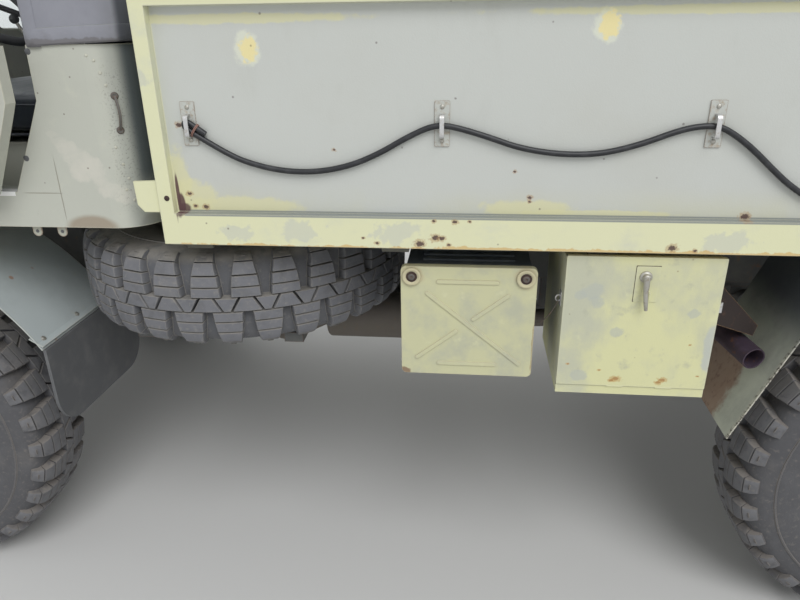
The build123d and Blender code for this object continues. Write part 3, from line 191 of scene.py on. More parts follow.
    def done(self, rounding):
        """Sets the layers on the shader, with the relief in metres and the edges softened by rounding."""
        facing = {}
        if rounding:
            facing = {"Normal": self.node("ShaderNodeBevel", {"Radius": rounding}, samples=4).outputs[0]}
        if isinstance(self.relief, bpy.types.NodeSocket):
            bump = self.node("ShaderNodeBump", {"Height": self.relief, "Distance": 1.0, "Strength": 1.0, **facing})
            facing = {"Normal": bump.outputs[0]}
        values = {"Base Color": self.colour, "Roughness": self.roughness, **facing}
        for key, value in values.items():
            if isinstance(value, bpy.types.NodeSocket):
                self.tree.links.new(value, self.shader.inputs[key])
            else:
                self.shader.inputs[key].default_value = value
        return self.material


black_rubber = Finish("black_rubber", (0.012, 0.013, 0.016), 0.42).cloud(
    0.02, 4, 0.45, 0.75, (0.055, 0.057, 0.06), 0.65, 0.5).bumps(0.004, 4, 0.0002).done(0)
line = bpy.data.curves.new("side_cord", "CURVE")
line.dimensions = "3D"
spline = line.splines.new("NURBS")
spline.points.add(len(cord_route) - 1)
for point, (x, z) in zip(spline.points, cord_route):
    point.co = (x, CORD_Y, z, 1)
spline.order_u = 3
spline.use_endpoint_u = True
line.resolution_u = 10
line.bevel_depth = CORD_RADIUS
line.bevel_resolution = 5
line.use_fill_caps = True
line.materials.append(black_rubber)
side_cord = bpy.data.objects.new("side_cord", line)
bpy.context.scene.collection.objects.link(side_cord)
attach(side_cord, "root")
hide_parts("cord_tube")

# Cord ends: the cord goes round the staple's strap and back beside itself, with a cut tail and a
# reddish wire clamp twisted round both strands.
zinc = Finish("dull_zinc", (0.42, 0.41, 0.37), 0.45, 0.7).cloud(
    0.006, 4, 0.5, 0.7, (0.25, 0.18, 0.10), 0.8, 0.5).done(0.0005)
clamp_wire = Finish("clamp_wire", (0.30, 0.17, 0.14), 0.5, 0.4).done(0)


def quads(rows, columns, close_rows=False, close_columns=False):
    """Faces of a grid of rows x columns points, numbered row by row; a closed direction joins up."""
    i = np.arange(rows if close_rows else rows - 1)[:, None]
    j = np.arange(columns if close_columns else columns - 1)[None, :]
    i2, j2 = (i + 1) % rows, (j + 1) % columns
    return np.stack([i * columns + j, i * columns + j2, i2 * columns + j2, i2 * columns + j], -1).reshape(-1, 4)


def tube(path, radius, sides=14, up=(0, 0, 1), closed=False):
    """A round bar: path + radius * (cos a * side + sin a * top), side = tangent x up, top = side x tangent."""
    path = np.asarray(path, float)
    if closed:
        tangent = np.roll(path, -1, 0) - np.roll(path, 1, 0)
    else:
        tangent = np.gradient(path, axis=0)
    tangent /= np.linalg.norm(tangent, axis=1, keepdims=True)
    side = np.cross(tangent, up)
    side /= np.linalg.norm(side, axis=1, keepdims=True)
    top = np.cross(side, tangent)
    a = np.linspace(0, 2 * pi, sides, endpoint=False)[None, :, None]
    r = np.broadcast_to(radius, len(path))[:, None, None]
    points = path[:, None] + r * (np.cos(a) * side[:, None] + np.sin(a) * top[:, None])
    faces = [quads(len(path), sides, closed, True)]
    if not closed:
        faces += [np.arange(sides)[None, ::-1], (len(path) - 1) * sides + np.arange(sides)[None]]
    return points.reshape(-1, 3), faces


def piece(name, shells, finish, body="root", stands_for=(), crease=35, paint=None):
    """Joins shells, each (points, faces), into one piece of the given finish that moves with body."""
    corners, loops, sizes, count = [], [], [], 0
    for points, faces in shells:
        corners.append(np.asarray(points, float).reshape(-1, 3))
        for block in faces:
            loops.append((np.asarray(block) + count).ravel())
            sizes.append(np.full(len(block), np.shape(block)[1]))
        count += len(corners[-1])
    corners, loops, sizes = np.concatenate(corners), np.concatenate(loops), np.concatenate(sizes)
    mesh = bpy.data.meshes.new(name)
    mesh.vertices.add(count)
    mesh.vertices.foreach_set("co", corners.ravel())
    mesh.loops.add(len(loops))
    mesh.loops.foreach_set("vertex_index", loops)
    mesh.polygons.add(len(sizes))
    mesh.polygons.foreach_set("loop_start", np.concatenate([[0], np.cumsum(sizes)[:-1]]))
    mesh.update(calc_edges=True)
    if paint is not None:
        mesh.attributes.new("tone", "FLOAT", "POINT").data.foreach_set("value", paint)
    form = bmesh.new()
    form.from_mesh(mesh)
    bmesh.ops.remove_doubles(form, verts=form.verts, dist=1e-6)
    bmesh.ops.recalc_face_normals(form, faces=form.faces)
    form.to_mesh(mesh)
    form.free()
    mesh.polygons.foreach_set("use_smooth", np.ones(len(mesh.polygons), bool))
    mesh.set_sharp_from_angle(angle=radians(crease))
    mesh.materials.append(finish)
    made = bpy.data.objects.new(name, mesh)
    bpy.context.scene.collection.objects.link(made)
    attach(made, body)
    if stands_for:
        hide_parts(*stands_for)
    return made


cord_ends = []
for end, strap_x, toward in (("front", STAPLES_X[0], -1), ("rear", STAPLES_X[-1], 1)):
    start = np.array(cord_route[0 if end == "front" else -1])
    strap = np.array((strap_x, 1.343))
    along = (strap - start) / np.linalg.norm(strap - start)
    beside = np.array((-along[1], along[0])) * -toward
    t = np.linspace(0, 1, 15)[:, None]
    a = np.linspace(-pi / 2, pi / 2, 13)[:, None]
    turn = strap + 0.004 * along + LOOP_RADIUS * (np.cos(a) * along * 1.5 + np.sin(a) * beside) + LOOP_RADIUS * beside
    out = start + t * (turn[0] - start)
    back = turn[-1] + t * (start - 0.016 * along + 2 * LOOP_RADIUS * beside - turn[-1])
    flat = np.concatenate([out[:-1], turn, back[1:]])
    path = np.stack([flat[:, 0], np.full(len(flat), CORD_Y), flat[:, 1]], -1)
    loop = piece(f"cord_loop_{end}", [tube(path, CORD_RADIUS * 0.97, up=(0, 1, 0))], black_rubber)
    a = np.linspace(0, 2 * pi, 24, endpoint=False)[:, None]
    middle = np.array((*(start + 0.35 * (strap - start) + LOOP_RADIUS * beside), CORD_Y))[[0, 2, 1]]
    side = np.array((beside[0], 0, beside[1]))
    ring = middle + 0.0145 * np.cos(a) * side + 0.0078 * np.sin(a) * np.array((0, 1, 0))
    wires = [tube(ring + np.array((along[0], 0, along[1])) * shift, 0.0012, 8, (along[0], 0, along[1]), True)
             for shift in (-0.0013, 0.0013)]
    cord_ends += [loop, piece(f"cord_clamp_{end}", wires, clamp_wire)]

# Stage: a plain pale floor, a white surround and soft lamps, which are not part of the truck.
floor_paint = bpy.data.materials.new("pale_floor")
floor_paint.use_nodes = True
floor_paint.node_tree.nodes["Principled BSDF"].inputs["Base Color"].default_value = (0.62, 0.62, 0.61, 1)
floor_paint.node_tree.nodes["Principled BSDF"].inputs["Roughness"].default_value = 0.9
floor_mesh = bpy.data.meshes.new("floor")
floor_mesh.from_pydata([(-60, -60, 0), (60, -60, 0), (60, 60, 0), (-60, 60, 0)], [], [(0, 1, 2, 3)])
floor_mesh.materials.append(floor_paint)
floor = bpy.data.objects.new("floor", floor_mesh)
bpy.context.scene.collection.objects.link(floor)
world = bpy.data.worlds.new("surround")
bpy.context.scene.world = world
world.use_nodes = True
light_path = world.node_tree.nodes.new("ShaderNodeLightPath")
sky = world.node_tree.nodes["Background"]
seen = light_path.outputs["Is Camera Ray"]
for ray in ("Is Glossy Ray", "Is Transmission Ray"):
    either = world.node_tree.nodes.new("ShaderNodeMath")
    either.operation = "MAXIMUM"
    world.node_tree.links.new(seen, either.inputs[0])
    world.node_tree.links.new(light_path.outputs[ray], either.inputs[1])
    seen = either.outputs[0]
level = world.node_tree.nodes.new("ShaderNodeMapRange")
level.inputs["To Min"].default_value = 0.60
level.inputs["To Max"].default_value = 1.0
world.node_tree.links.new(seen, level.inputs["Value"])
world.node_tree.links.new(level.outputs[0], sky.inputs["Strength"])
sky.inputs["Color"].default_value = (0.97, 0.985, 1.0, 1)
for name, aim, spread, power in (("key_lamp", (0.30, -0.62, -0.72), 38, 1.75),
                                 ("fill_lamp", (-0.55, 0.45, -0.70), 60, 0.7)):
    lamp = bpy.data.lights.new(name, "SUN")
    lamp.angle = radians(spread)
    lamp.energy = power
    made = bpy.data.objects.new(name, lamp)
    made.rotation_euler = Vector(aim).to_track_quat("-Z", "Y").to_euler()
    bpy.context.scene.collection.objects.link(made)
bpy.context.scene.view_settings.view_transform = "Standard"

# Cargo body: folded steel sheet in one pale grey-green coat. The lower corners, rails and posts have faded
# to a chalky yellow-green, two bare patches were touched up in cream, and rust bleeds from the seams. The crease
# above the bottom rail and the corner of the front post and rail are darkened with painted shade.
GREY_GREEN, CHALK, CREAM = (0.535, 0.552, 0.522), (0.66, 0.64, 0.38), (0.78, 0.69, 0.36)
RUST, DARK_RUST = (0.30, 0.13, 0.05), (0.075, 0.040, 0.040)
body_coat = Finish("cargo_paint", GREY_GREEN, 0.62)
wide = body_coat.grain(0.35, 5)
body_coat.lay(body_coat.fade(wide, 0.45, 0.75), (0.505, 0.512, 0.47), 0.55, 0.6)
body_coat.cloud(0.05, 6, 0.55, 0.85, (0.44, 0.45, 0.41), 0.7, 0.3, stretch=(1, 1, 3))
body_coat.lay(body_coat.both(body_coat.along(2, 1.24, 1.16), body_coat.fade(wide, 0.35, 0.65)),
              (0.56, 0.56, 0.42), 0.6, 0.75)
chalk_places = [  # middle along x and z, and half length and half height of each faded patch
    (0.455, 1.225, 0.028, 0.075), (0.425, 1.195, 0.055, 0.040), (0.330, 1.180, 0.150, 0.020),
    (-0.30, 1.180, 0.11, 0.019), (-0.43, 1.172, 0.16, 0.009), (-1.15, 1.180, 0.28, 0.018),
    (0.30, 1.556, 0.26, 0.010), (-0.65, 1.56, 0.4, 0.009)]
for x, z, half_length, half_height in chalk_places:
    body_coat.patch((x, 0.98, z), (half_length, 0.3, half_height), 0.28, 0.03, CHALK, 0.65, 0.72)
for x, z in ((0.274, 1.50), (-0.424, 1.535)):
    body_coat.patch((x, 0.98, z), (0.026, 0.1, 0.032), 0.35, 0.03, (0.72, 0.74, 0.60), 0.5, 0.6)
    body_coat.patch((x - 0.004, 0.98, z), (0.018, 0.1, 0.024), 0.45, 0.012, CREAM, 0.5)


def coat(finish, *nodes):
    """Gives the named CAD pieces a finish, on their objects."""
    for name in nodes:
        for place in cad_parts[name].material_slots:
            place.link = "OBJECT"
            place.material = finish


post = body_coat.sum("MAXIMUM", body_coat.along(0, 0.462, 0.468), body_coat.along(0, -2.288, -2.294))
rails = body_coat.sum("MAXIMUM", body_coat.along(2, 1.165, 1.162), body_coat.sum(
    "MAXIMUM", post, body_coat.along(2, 1.578, 1.584)))
worn = body_coat.fade(body_coat.grain(0.16, 5), 0.15, 0.45)
body_coat.lay(body_coat.both(rails, worn), (0.705, 0.705, 0.46), 0.6, 0.95)
worn = body_coat.fade(body_coat.grain(0.09, 5, (1.6, 1, 1)), 0.55, 0.75)
body_coat.lay(body_coat.both(rails, worn), (0.60, 0.615, 0.49), 0.6, 0.6)
for x, z, half in ((0.33, 1.125, 0.035), (0.19, 1.13, 0.045), (-0.02, 1.125, 0.05), (0.503, 1.45, 0.03),
                   (-0.71, 1.12, 0.05)):
    body_coat.patch((x, 1.0, z), (half, 0.1, half * 0.55), 0.7, 0.03, (0.50, 0.52, 0.485), 0.6, 0.5)
body_coat.patch((-0.9, 1.0, 1.094), (1.6, 0.05, 0.006), 0.9, 0.03, (0.62, 0.42, 0.16), 0.8, 0.8)
# Painted shade: a dark blue-grey line in the crease where the panel meets the proud bottom rail.
rail_crease_shade = body_coat.both(body_coat.along(2, 1.1595, 1.1615), body_coat.along(2, 1.1705, 1.1680),
                      body_coat.along(0, 0.446, 0.440))
body_coat.lay(rail_crease_shade, (0.235, 0.255, 0.245), 0.7, 0.92)
# A dark red-brown strip in the inner corner of the front post and the bottom rail: rust, deepened with painted shade in
# the corner.
for x, z, half_length, half_height, ragged, size, strength in (
        (0.4600, 1.200, 0.0042, 0.052, 0.12, 0.03, 0.95), (0.4540, 1.182, 0.0085, 0.026, 0.10, 0.02, 0.95),
        (0.4490, 1.173, 0.014, 0.012, 0.15, 0.02, 0.9)):
    body_coat.patch((x, 0.985, z), (half_length, 0.06, half_height), ragged, size, (0.105, 0.055, 0.060), 0.9, strength)
rust_places = [  # rusty chips: middle along x and z, size
    (0.107, 1.302, 0.003), (-0.268, 1.259, 0.003), (-0.302, 1.205, 0.0045), (-0.302, 1.196, 0.003),
    (-0.736, 1.171, 0.008), (-0.104, 1.157, 0.004), (-0.148, 1.156, 0.005), (-0.179, 1.157, 0.003),
    (0.049, 1.117, 0.003), (0.019, 1.106, 0.004), (-0.074, 1.106, 0.009), (-0.108, 1.120, 0.008),
    (-0.121, 1.119, 0.006), (-0.136, 1.105, 0.004), (-0.597, 1.107, 0.008),
    (-0.643, 1.102, 0.004), (0.434, 1.205, 0.005), (0.400, 1.176, 0.006), (0.436, 1.352, 0.006), (0.424, 1.178, 0.004)]
for x, z, size in rust_places:
    body_coat.patch((x, 0.99, z), (size * 1.7, 0.1, size * 1.3), 0.5, 0.006, (0.42, 0.26, 0.12), 0.85, 0.5)
    body_coat.patch((x, 0.99, z), (size, 0.1, size * 0.7), 0.5, 0.004, DARK_RUST, 0.85, 0.9)
body_coat.specks(0.012, 0.010, DARK_RUST, 0.85, 0.55)
body_coat.rubbed(0.004, (0.62, 0.61, 0.46), 0.7, 0.45)
body_coat.bumps(0.9, 3, 0.006).bumps(0.003, 2, 0.00025)
cargo_paint = body_coat.done(0.002)
coat(cargo_paint, "bed_side_left", "bed_side_right", "bed_front", "tailgate")

# Tyres: cross-country tyres of black rubber, greyed by dust. Each side has 30 stepped shoulder lugs in
# rows, set half a pitch apart across the tread, and two locked rows of wedge blocks run round the middle.
# They are moulded in one piece with the carcass, and their beads sit in the rim.
PITCHES, PITCH_RADIUS, TREAD_TOP = 30, 0.44, 0.4597
CELL_ROWS = 7  # points each way on one lug or block
side_line = np.array([(0, .436), (.050, .435), (.085, .430), (.103, .420), (.113, .405), (.118, .388), (.121, .370),
                      (.1215, .352), (.121, .330), (.117, .304), (.110, .280), (.101, .258), (.092, .243),
                      (.088, .2315)])
side_length = np.concatenate([[0], np.cumsum(np.linalg.norm(np.diff(side_line, axis=0), axis=1))])
side_out = np.gradient(side_line, axis=0)
side_out = np.stack([-side_out[:, 1], side_out[:, 0]], -1)
side_out[0] = (0, 1)
side_out /= np.linalg.norm(side_out, axis=1, keepdims=True)
lug_cells = [  # half of the lug at its inner and outer end in pitches, the two ends in mm out, heights in mm
    (0.395, 0.375, 18.6, 42.4, 24, 24), (0.375, 0.340, 44, 68.2, 24, 24), (0.335, 0.265, 69.8, 95.6, 24, 21.5),
    (0.265, 0.215, 95.8, 122.5, 21.5, 6)]
cells = [(((-w0, v0), (w0, v0), (w1, v1), (-w1, v1)), h0, h1, side)
         for w0, w1, v0, v1, h0, h1 in lug_cells for side in (1, -1)]
cells += [(((-0.395, -17), (0.395, -17), (0.15, 17), (-0.15, 17)), 24, 24, 0),
          (((0.42, -17), (0.58, -17), (0.81, 17), (0.19, 17)), 24, 24, 0)]
# Slots in the shoulder lugs: small plates just proud of the lug, painted near black as painted shade.
cells += [(((-0.11, 105.5), (0.11, 105.5), (0.10, 108.4), (-0.10, 108.4)), 17.1, 15.6, side) for side in (1, -1)]


def turned(profile, centre, axis, sides):
    """A form turned on a lathe from profile rows (along, radius): centre + along * axis + radius * (cos a * u +
    sin a * v)."""
    axis = np.asarray(axis, float) / np.linalg.norm(axis)
    u = np.cross(axis, (0.3, 0.5, 0.81))
    u /= np.linalg.norm(u)
    v = np.cross(axis, u)
    profile = np.asarray(profile, float)
    a = np.linspace(0, 2 * pi, sides, endpoint=False)[None, :, None]
    points = np.asarray(centre, float) + profile[:, None, :1] * axis + profile[:, None, 1:] * (
        np.cos(a) * u + np.sin(a) * v)
    ends = [np.arange(sides)[None, ::-1], (len(profile) - 1) * sides + np.arange(sides)[None]]
    return points.reshape(-1, 3), [quads(len(profile), sides, False, True)] + ends


def tyre_form():
    """Points along y round the axle: a cell's corners, mixed by (a, b), give its pitch share s and its arc
    length v; the point is the side line at v, raised by the height along the line's normal, at 2 pi s / 30."""
    turn = np.linspace(0, 2 * pi, 4 * PITCHES, endpoint=False)
    line = np.concatenate([side_line[::-1] * (-1, 1), side_line[1:]])
    carcass = np.stack([np.cos(turn)[:, None] * line[None, :, 1], np.broadcast_to(line[:, 0], (len(turn), len(line))),
                        np.sin(turn)[:, None] * line[None, :, 1]], -1)
    shells = [(carcass.reshape(-1, 3), [quads(len(turn), len(line), True)])]
    heights = [np.zeros(carcass.size // 3)]
    ring = [(0.104, 0.372), (0.1232, 0.3695), (0.1232, 0.3655), (0.104, 0.3630)]
    for side in (1, -1):
        form = turned([(side * along, radius) for along, radius in ring], (0, 0, 0), (0, 1, 0), 4 * PITCHES)
        shells.append((form[0], form[1][:1]))
        heights.append(np.full(len(form[0]), 0.3))
    for corners, low, high, side in cells:
        corners = np.array(corners, float)
        pitch = 2 * pi * PITCH_RADIUS / PITCHES
        width = np.ptp(corners[:, 0]) * pitch
        length = np.ptp(corners[:, 1]) / 1000
        slope = np.array([0, 0.0016, 0.0040]) / width
        lip = np.array([0, 0.0005, 0.0013]) / length
        a = np.concatenate([slope, [0.5], 1 - slope[::-1]])
        b = np.concatenate([lip, [0.5], 1 - lip[::-1]])
        a, b = np.meshgrid(a, b, indexing="ij")
        flat = ((1 - a) * (1 - b))[..., None] * corners[0] + (a * (1 - b))[..., None] * corners[1] + (
            a * b)[..., None] * corners[2] + ((1 - a) * b)[..., None] * corners[3]
        from_rim = np.minimum(np.arange(CELL_ROWS), np.arange(CELL_ROWS)[::-1])
        rank = np.minimum(from_rim[:, None], from_rim[None, :])
        share = np.array([-0.06, 0.86, 1.0, 1.0])[rank]
        height = share * (low + (high - low) * b) / 1000
        v = flat[..., 1] / 1000
        hand = np.sign(v) if side == 0 else side
        v = np.abs(v)
        along, radius = (np.interp(v, side_length, side_line[:, k]) + height * np.interp(v, side_length, side_out[:, k])
                         for k in (0, 1))
        radius = np.minimum(radius, TREAD_TOP)
        start = np.arange(PITCHES) + (0.5 if side == -1 else 0)
        angle = 2 * pi * (start[:, None, None] + flat[None, ..., 0]) / PITCHES
        block = np.stack([np.cos(angle) * radius, np.broadcast_to(along * hand, angle.shape),
                          np.sin(angle) * radius], -1)
        faces = (np.arange(PITCHES)[:, None, None] * CELL_ROWS ** 2 + quads(CELL_ROWS, CELL_ROWS)).reshape(-1, 4)
        shells.append((block.reshape(-1, 3), [faces]))
        # Cells under 4 mm long are the slots: tone -0.6, painted near black as painted shade.
        worn = np.where(rank >= 2, 1.0, np.maximum(share, 0) * 0.6) if length > 0.004 else np.full(rank.shape, -0.6)
        heights.append(np.broadcast_to(worn, angle.shape).ravel())
    return shells, np.concatenate(heights)


def tyre_rubber(name, top, groove, dust, wall):
    """Tyre finish: tone 1 is the worn top of a lug, tone 0 the floor of a groove, and below 0 a slot in painted shade.
    """
    rubber = Finish(name, groove, 0.85)
    tone = rubber.node("ShaderNodeAttribute", attribute_name="tone").outputs["Fac"]
    rubber.lay(rubber.fade(tone, 0.1, 1.0), top, 0.68)
    rubber.lay(rubber.fade(tone, -0.2, -0.5), (0.012, 0.012, 0.013), 0.9)
    rubber.cloud(0.05, 6, 0.42, 0.72, wall, 0.8, 0.55)
    normal = rubber.node("ShaderNodeNewGeometry").outputs["Normal"]
    facing = rubber.node("ShaderNodeSeparateXYZ", {0: normal}).outputs[2]
    rubber.lay(rubber.fade(facing, 0.35, 0.85), dust, 0.95, 0.75)
    rubber.cloud(0.012, 5, 0.52, 0.75, dust, 0.95, 0.45)
    rubber.cloud(0.16, 4, 0.55, 0.8, dust, 0.95, 0.35)
    rubber.cloud(0.035, 6, 0.50, 0.66, groove, 0.7, 0.6)
    rubber.rubbed(0.003, dust, 0.8, 0.55)
    rubber.bumps(0.003, 4, 0.0006).bumps(0.02, 3, 0.0012)
    return rubber.done(0.0012)


spare_rubber = tyre_rubber("spare_tyre_rubber", (0.158, 0.160, 0.174), (0.118, 0.120, 0.128), (0.285, 0.268, 0.240),
                           (0.120, 0.126, 0.142))
road_rubber = tyre_rubber("road_tyre_rubber", (0.140, 0.141, 0.150), (0.082, 0.082, 0.088), (0.215, 0.195, 0.175),
                          (0.105, 0.105, 0.112))
tyre_shells, tones = tyre_form()
for name in ("front_left", "front_right", "rear_left", "rear_right", "spare"):
    body, rubber = ("root", spare_rubber) if name == "spare" else (f"wheel_{name}", road_rubber)
    low, high = (np.array(corner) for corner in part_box(f"tyre_{name}"))
    centre = (low + high) / 2
    place = np.eye(3) if name != "spare" else np.array([(1, 0, 0), (0, 0, -1), (0, 1, 0)])
    turn = radians({"front_left": 4.0, "rear_left": 9.0, "spare": 2.0}.get(name, 0))
    spin = np.array([(cos(turn), 0, -sin(turn)), (0, 1, 0), (sin(turn), 0, cos(turn))])
    shells = [(points @ spin.T @ place.T + centre, faces) for points, faces in tyre_shells]
    piece(f"tread_{name}", shells, rubber, body, (f"tyre_{name}",), 32, tones)

# Soft top: one dark grey cotton-duck hood, faded blue-violet on the sides. It is cut in one piece with the
# rear curtain and the quarters, hemmed all round, stretched over bows and buttoned to the cab's rim.
CANVAS_LOW, VALANCE, WALL_TOP, QUARTER_FRONT = 1.507, 2.120, 2.175, 0.748
DOOR_ROWS, EAVE_ROWS, EAVE_ROUND = 40, 8, 0.060
hood_low, hood_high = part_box("soft_top")
rear_x, front_x, half = hood_low[0] + 0.0005, hood_high[0], hood_high[1] - 0.0005
roof_z = hood_high[2]
high_bow = rear_x + 0.42
CORNER = 0.085


def hood_plan():
    """The hood's outline from above: along the left side, round the two rear corners, and forward again."""
    side = np.concatenate([np.linspace(front_x, QUARTER_FRONT, 34), np.linspace(QUARTER_FRONT, rear_x + CORNER, 8)[1:]])
    a = np.linspace(0, pi / 2, 10)[1:]
    left = np.concatenate([np.stack([side, np.full(len(side), half)], -1),
                           np.stack([rear_x + CORNER - CORNER * np.sin(a), half - CORNER + CORNER * np.cos(a)], -1)])
    back = np.linspace(half - CORNER, 0, 26)[1:]
    left = np.concatenate([left, np.stack([np.full(len(back), rear_x), back], -1)])
    return np.concatenate([left, left[-2::-1] * (1, -1)])


def ridge(x):
    """Height of the roof's middle: it rises from the rear bow to the highest bow, and falls to the windscreen."""
    return np.interp(x, (rear_x, rear_x + 0.06, rear_x + 0.25, high_bow, front_x - 0.25, front_x),
                     (roof_z - 0.062, roof_z - 0.030, roof_z - 0.008, roof_z - 0.001, roof_z - 0.075,
                      roof_z - 0.112))


rim = hood_plan()
inward = np.stack([np.clip(rim[:, 0], high_bow, front_x), np.zeros(len(rim))], -1)
reach = np.linalg.norm(inward - rim, axis=1, keepdims=True)
heading = (inward - rim) / reach
wall_rows = np.concatenate([np.linspace(CANVAS_LOW, VALANCE, DOOR_ROWS), np.linspace(VALANCE, WALL_TOP, 5)[1:]])
wall_count = len(wall_rows)
roof_share = np.linspace(0, 1, 30)[1:] ** 1.15
edge_z = ridge(rim[:, 0]) - 0.012 - 0.02 * np.abs(rim[:, 1]) / half
grid = np.empty((len(rim), wall_count + EAVE_ROWS + len(roof_share), 3))

# the walls hang straight down from the eaves
wall_top = edge_z - EAVE_ROUND
stretched = np.clip((wall_rows - VALANCE) / (WALL_TOP - VALANCE), 0, 1)
grid[:, :wall_count, :2] = rim[:, None]
grid[:, :wall_count, 2] = wall_rows[None, :] + (wall_top[:, None] - WALL_TOP) * stretched[None, :]

# the eaves are a quarter round, and the roof rises from them to the ridge
a = np.linspace(0, pi / 2, EAVE_ROWS + 1)[1:]
inset = heading[:, None] * EAVE_ROUND * (1 - np.cos(a))[None, :, None]
grid[:, wall_count:wall_count + EAVE_ROWS, :2] = rim[:, None] + inset
grid[:, wall_count:wall_count + EAVE_ROWS, 2] = wall_top[:, None] + EAVE_ROUND * np.sin(a)[None, :]
from_edge = EAVE_ROUND + (reach - EAVE_ROUND) * roof_share[None, :]
top = rim[:, None] + heading[:, None] * from_edge[..., None]
rise = 1 - (1 - roof_share) ** 2
grid[:, -len(roof_share):, :2] = top
grid[:, -len(roof_share):, 2] = edge_z[:, None] + (ridge(top[..., 0]) - edge_z[:, None]) * rise[None, :]

# soft folds in the walls, a sag between the bows, and a lower edge that rises 10 mm towards the rear
x, y, z = grid[..., 0], grid[..., 1], grid[..., 2]
on_wall = np.clip((2.22 - z) / 0.1, 0, 1)
drape = 0.0022 * np.sin(21 * x + 5 * z) + 0.0016 * np.sin(34 * y - 9 * z + 1.0) + 0.0012 * np.sin(13 * z + 40 * x * y)
hang = np.clip((z - CANVAS_LOW) / 0.35, 0.15, 1)
pull = np.where(on_wall > 0, 0.0042 - drape * hang, 0)[..., None] * on_wall[..., None]
grid[..., :2] += heading[:, None] * pull
bows = np.array((rear_x + 0.03, high_bow, rear_x + 0.80, front_x - 0.02))
gap = np.min(np.abs(x[..., None] - bows), -1)
sag = 0.010 * np.clip(gap / 0.19, 0, 1) ** 2 * (1 - on_wall) * np.clip((half - np.abs(y)) / 0.2, 0, 1)
grid[..., 2] -= sag + 0.0012 * (1 - on_wall) * (1 + np.sin(9 * x + 17 * y))
low_row = np.clip((1.60 - grid[:, :wall_count, 2]) / 0.1, 0, 1)
grid[:, :wall_count, 2] += 0.010 * low_row * (np.clip((0.75 - x[:, :wall_count]) / 0.2, 0, 1) ** 0.7)
grid[..., 2] = np.minimum(grid[..., 2], roof_z - 0.0005)

# the door openings are left out, and the area of one side is measured
faces = quads(*grid.shape[:2])
middle = grid.reshape(-1, 3)[faces].mean(1)
open_door = (middle[:, 0] > QUARTER_FRONT) & (middle[:, 2] < VALANCE - 0.002)
faces = faces[~open_door]
corners = grid.reshape(-1, 3)[faces]
one_side = 0.5 * np.linalg.norm(np.cross(corners[:, 2] - corners[:, 0], corners[:, 3] - corners[:, 1]), axis=1).sum()

canvas = Finish("hood_canvas", (0.245, 0.25, 0.285), 0.92, sheen=0.15)
canvas.cloud(0.22, 5, 0.35, 0.75, (0.315, 0.32, 0.36), 0.95, 0.8)
canvas.cloud(0.04, 6, 0.55, 0.8, (0.20, 0.20, 0.22), 0.95, 0.5)
canvas.patch((0.64, 0.97, 1.512), (0.3, 0.1, 0.012), 0.5, 0.03, (0.16, 0.15, 0.15), 0.95, 0.7)
up = canvas.node("ShaderNodeSeparateXYZ", {0: canvas.node("ShaderNodeNewGeometry").outputs["Normal"]}).outputs[2]
canvas.lay(canvas.fade(up, 0.3, 0.9), (0.215, 0.225, 0.205), 0.95, 0.6)
# Painted shade: the hood's rear below 1.92 m, across a narrow gap from the cargo body, is painted near black.
painted_gap_shade = canvas.both(canvas.along(0, 0.566, 0.554), canvas.along(2, 1.92, 1.60))
canvas.lay(painted_gap_shade, (0.035, 0.040, 0.052), 0.95, 0.85)
THREAD = 0.0016
upright = canvas.node("ShaderNodeSeparateXYZ", {0: canvas.place}).outputs[2]
level = canvas.node("ShaderNodeVectorMath", {0: canvas.place, 1: (1, 1, 0)}, operation="DOT_PRODUCT").outputs["Value"]
waves = [canvas.sum("SINE", canvas.sum("MULTIPLY", way, 2 * pi / THREAD)) for way in (upright, level)]
canvas.lay(canvas.both(*waves), height=0.00012).bumps(0.02, 4, 0.0012)
canvas_finish = canvas.done(0)
hood = piece("hood", [(grid.reshape(-1, 3), [faces])], canvas_finish, stands_for=("soft_top",), crease=60)
doubled = hood.modifiers.new("cloth_thickness", "SOLIDIFY")
doubled.thickness = 0.0022
doubled.offset = -1


def hem(path, width, lift, normal):
    """A doubled strip: path is its outer edge; it is width wide towards lift and stands 2 mm along normal."""
    path, lift, normal = (np.asarray(v, float) for v in (path, lift, normal))
    normal = np.broadcast_to(normal, path.shape)
    across = np.array([0, 0.06, 0.10, 0.5, 0.90, 0.94, 1.0])
    proud = np.array([-0.0005, 0.0015, 0.0020, 0.0023, 0.0020, 0.0015, -0.0005])
    points = path[:, None] + across[None, :, None] * width * lift + proud[None, :, None] * normal[:, None]
    return points.reshape(-1, 3), [quads(len(path), 7)]


wall_normal = np.stack([np.where(rim[:, 0] > rear_x + CORNER - 1e-6, 0, -(rear_x + CORNER - rim[:, 0]) / CORNER),
                        np.sign(rim[:, 1]) * np.clip((np.abs(rim[:, 1]) - (half - CORNER)) / CORNER, 0, 1),
                        np.zeros(len(rim))], -1)
wall_normal /= np.maximum(np.linalg.norm(wall_normal, axis=1, keepdims=True), 1e-6)
left_end, right_end = np.flatnonzero(rim[:, 0] <= QUARTER_FRONT + 1e-6)[[0, -1]]
band = slice(left_end, right_end + 1)
hems = [hem(grid[band, 0] + (0, 0, 0.001), 0.034, (0, 0, 1), wall_normal[band])]
for index, side in ((left_end, 1), (right_end, -1)):
    hems.append(hem(grid[index, :DOOR_ROWS] - (0.001, 0, 0), 0.030, (-1, 0, 0), (0, side, 0)))
for part in (slice(0, left_end + 1), slice(right_end, len(rim))):
    hems.append(hem(grid[part, DOOR_ROWS - 1] + (0, 0, 0.001), 0.034, (0, 0, 1), wall_normal[part]))
hem_strip = piece("hood_hems", hems, canvas_finish, crease=60)
hem_strip.modifiers.new("hem_thickness", "SOLIDIFY").thickness = 0.001

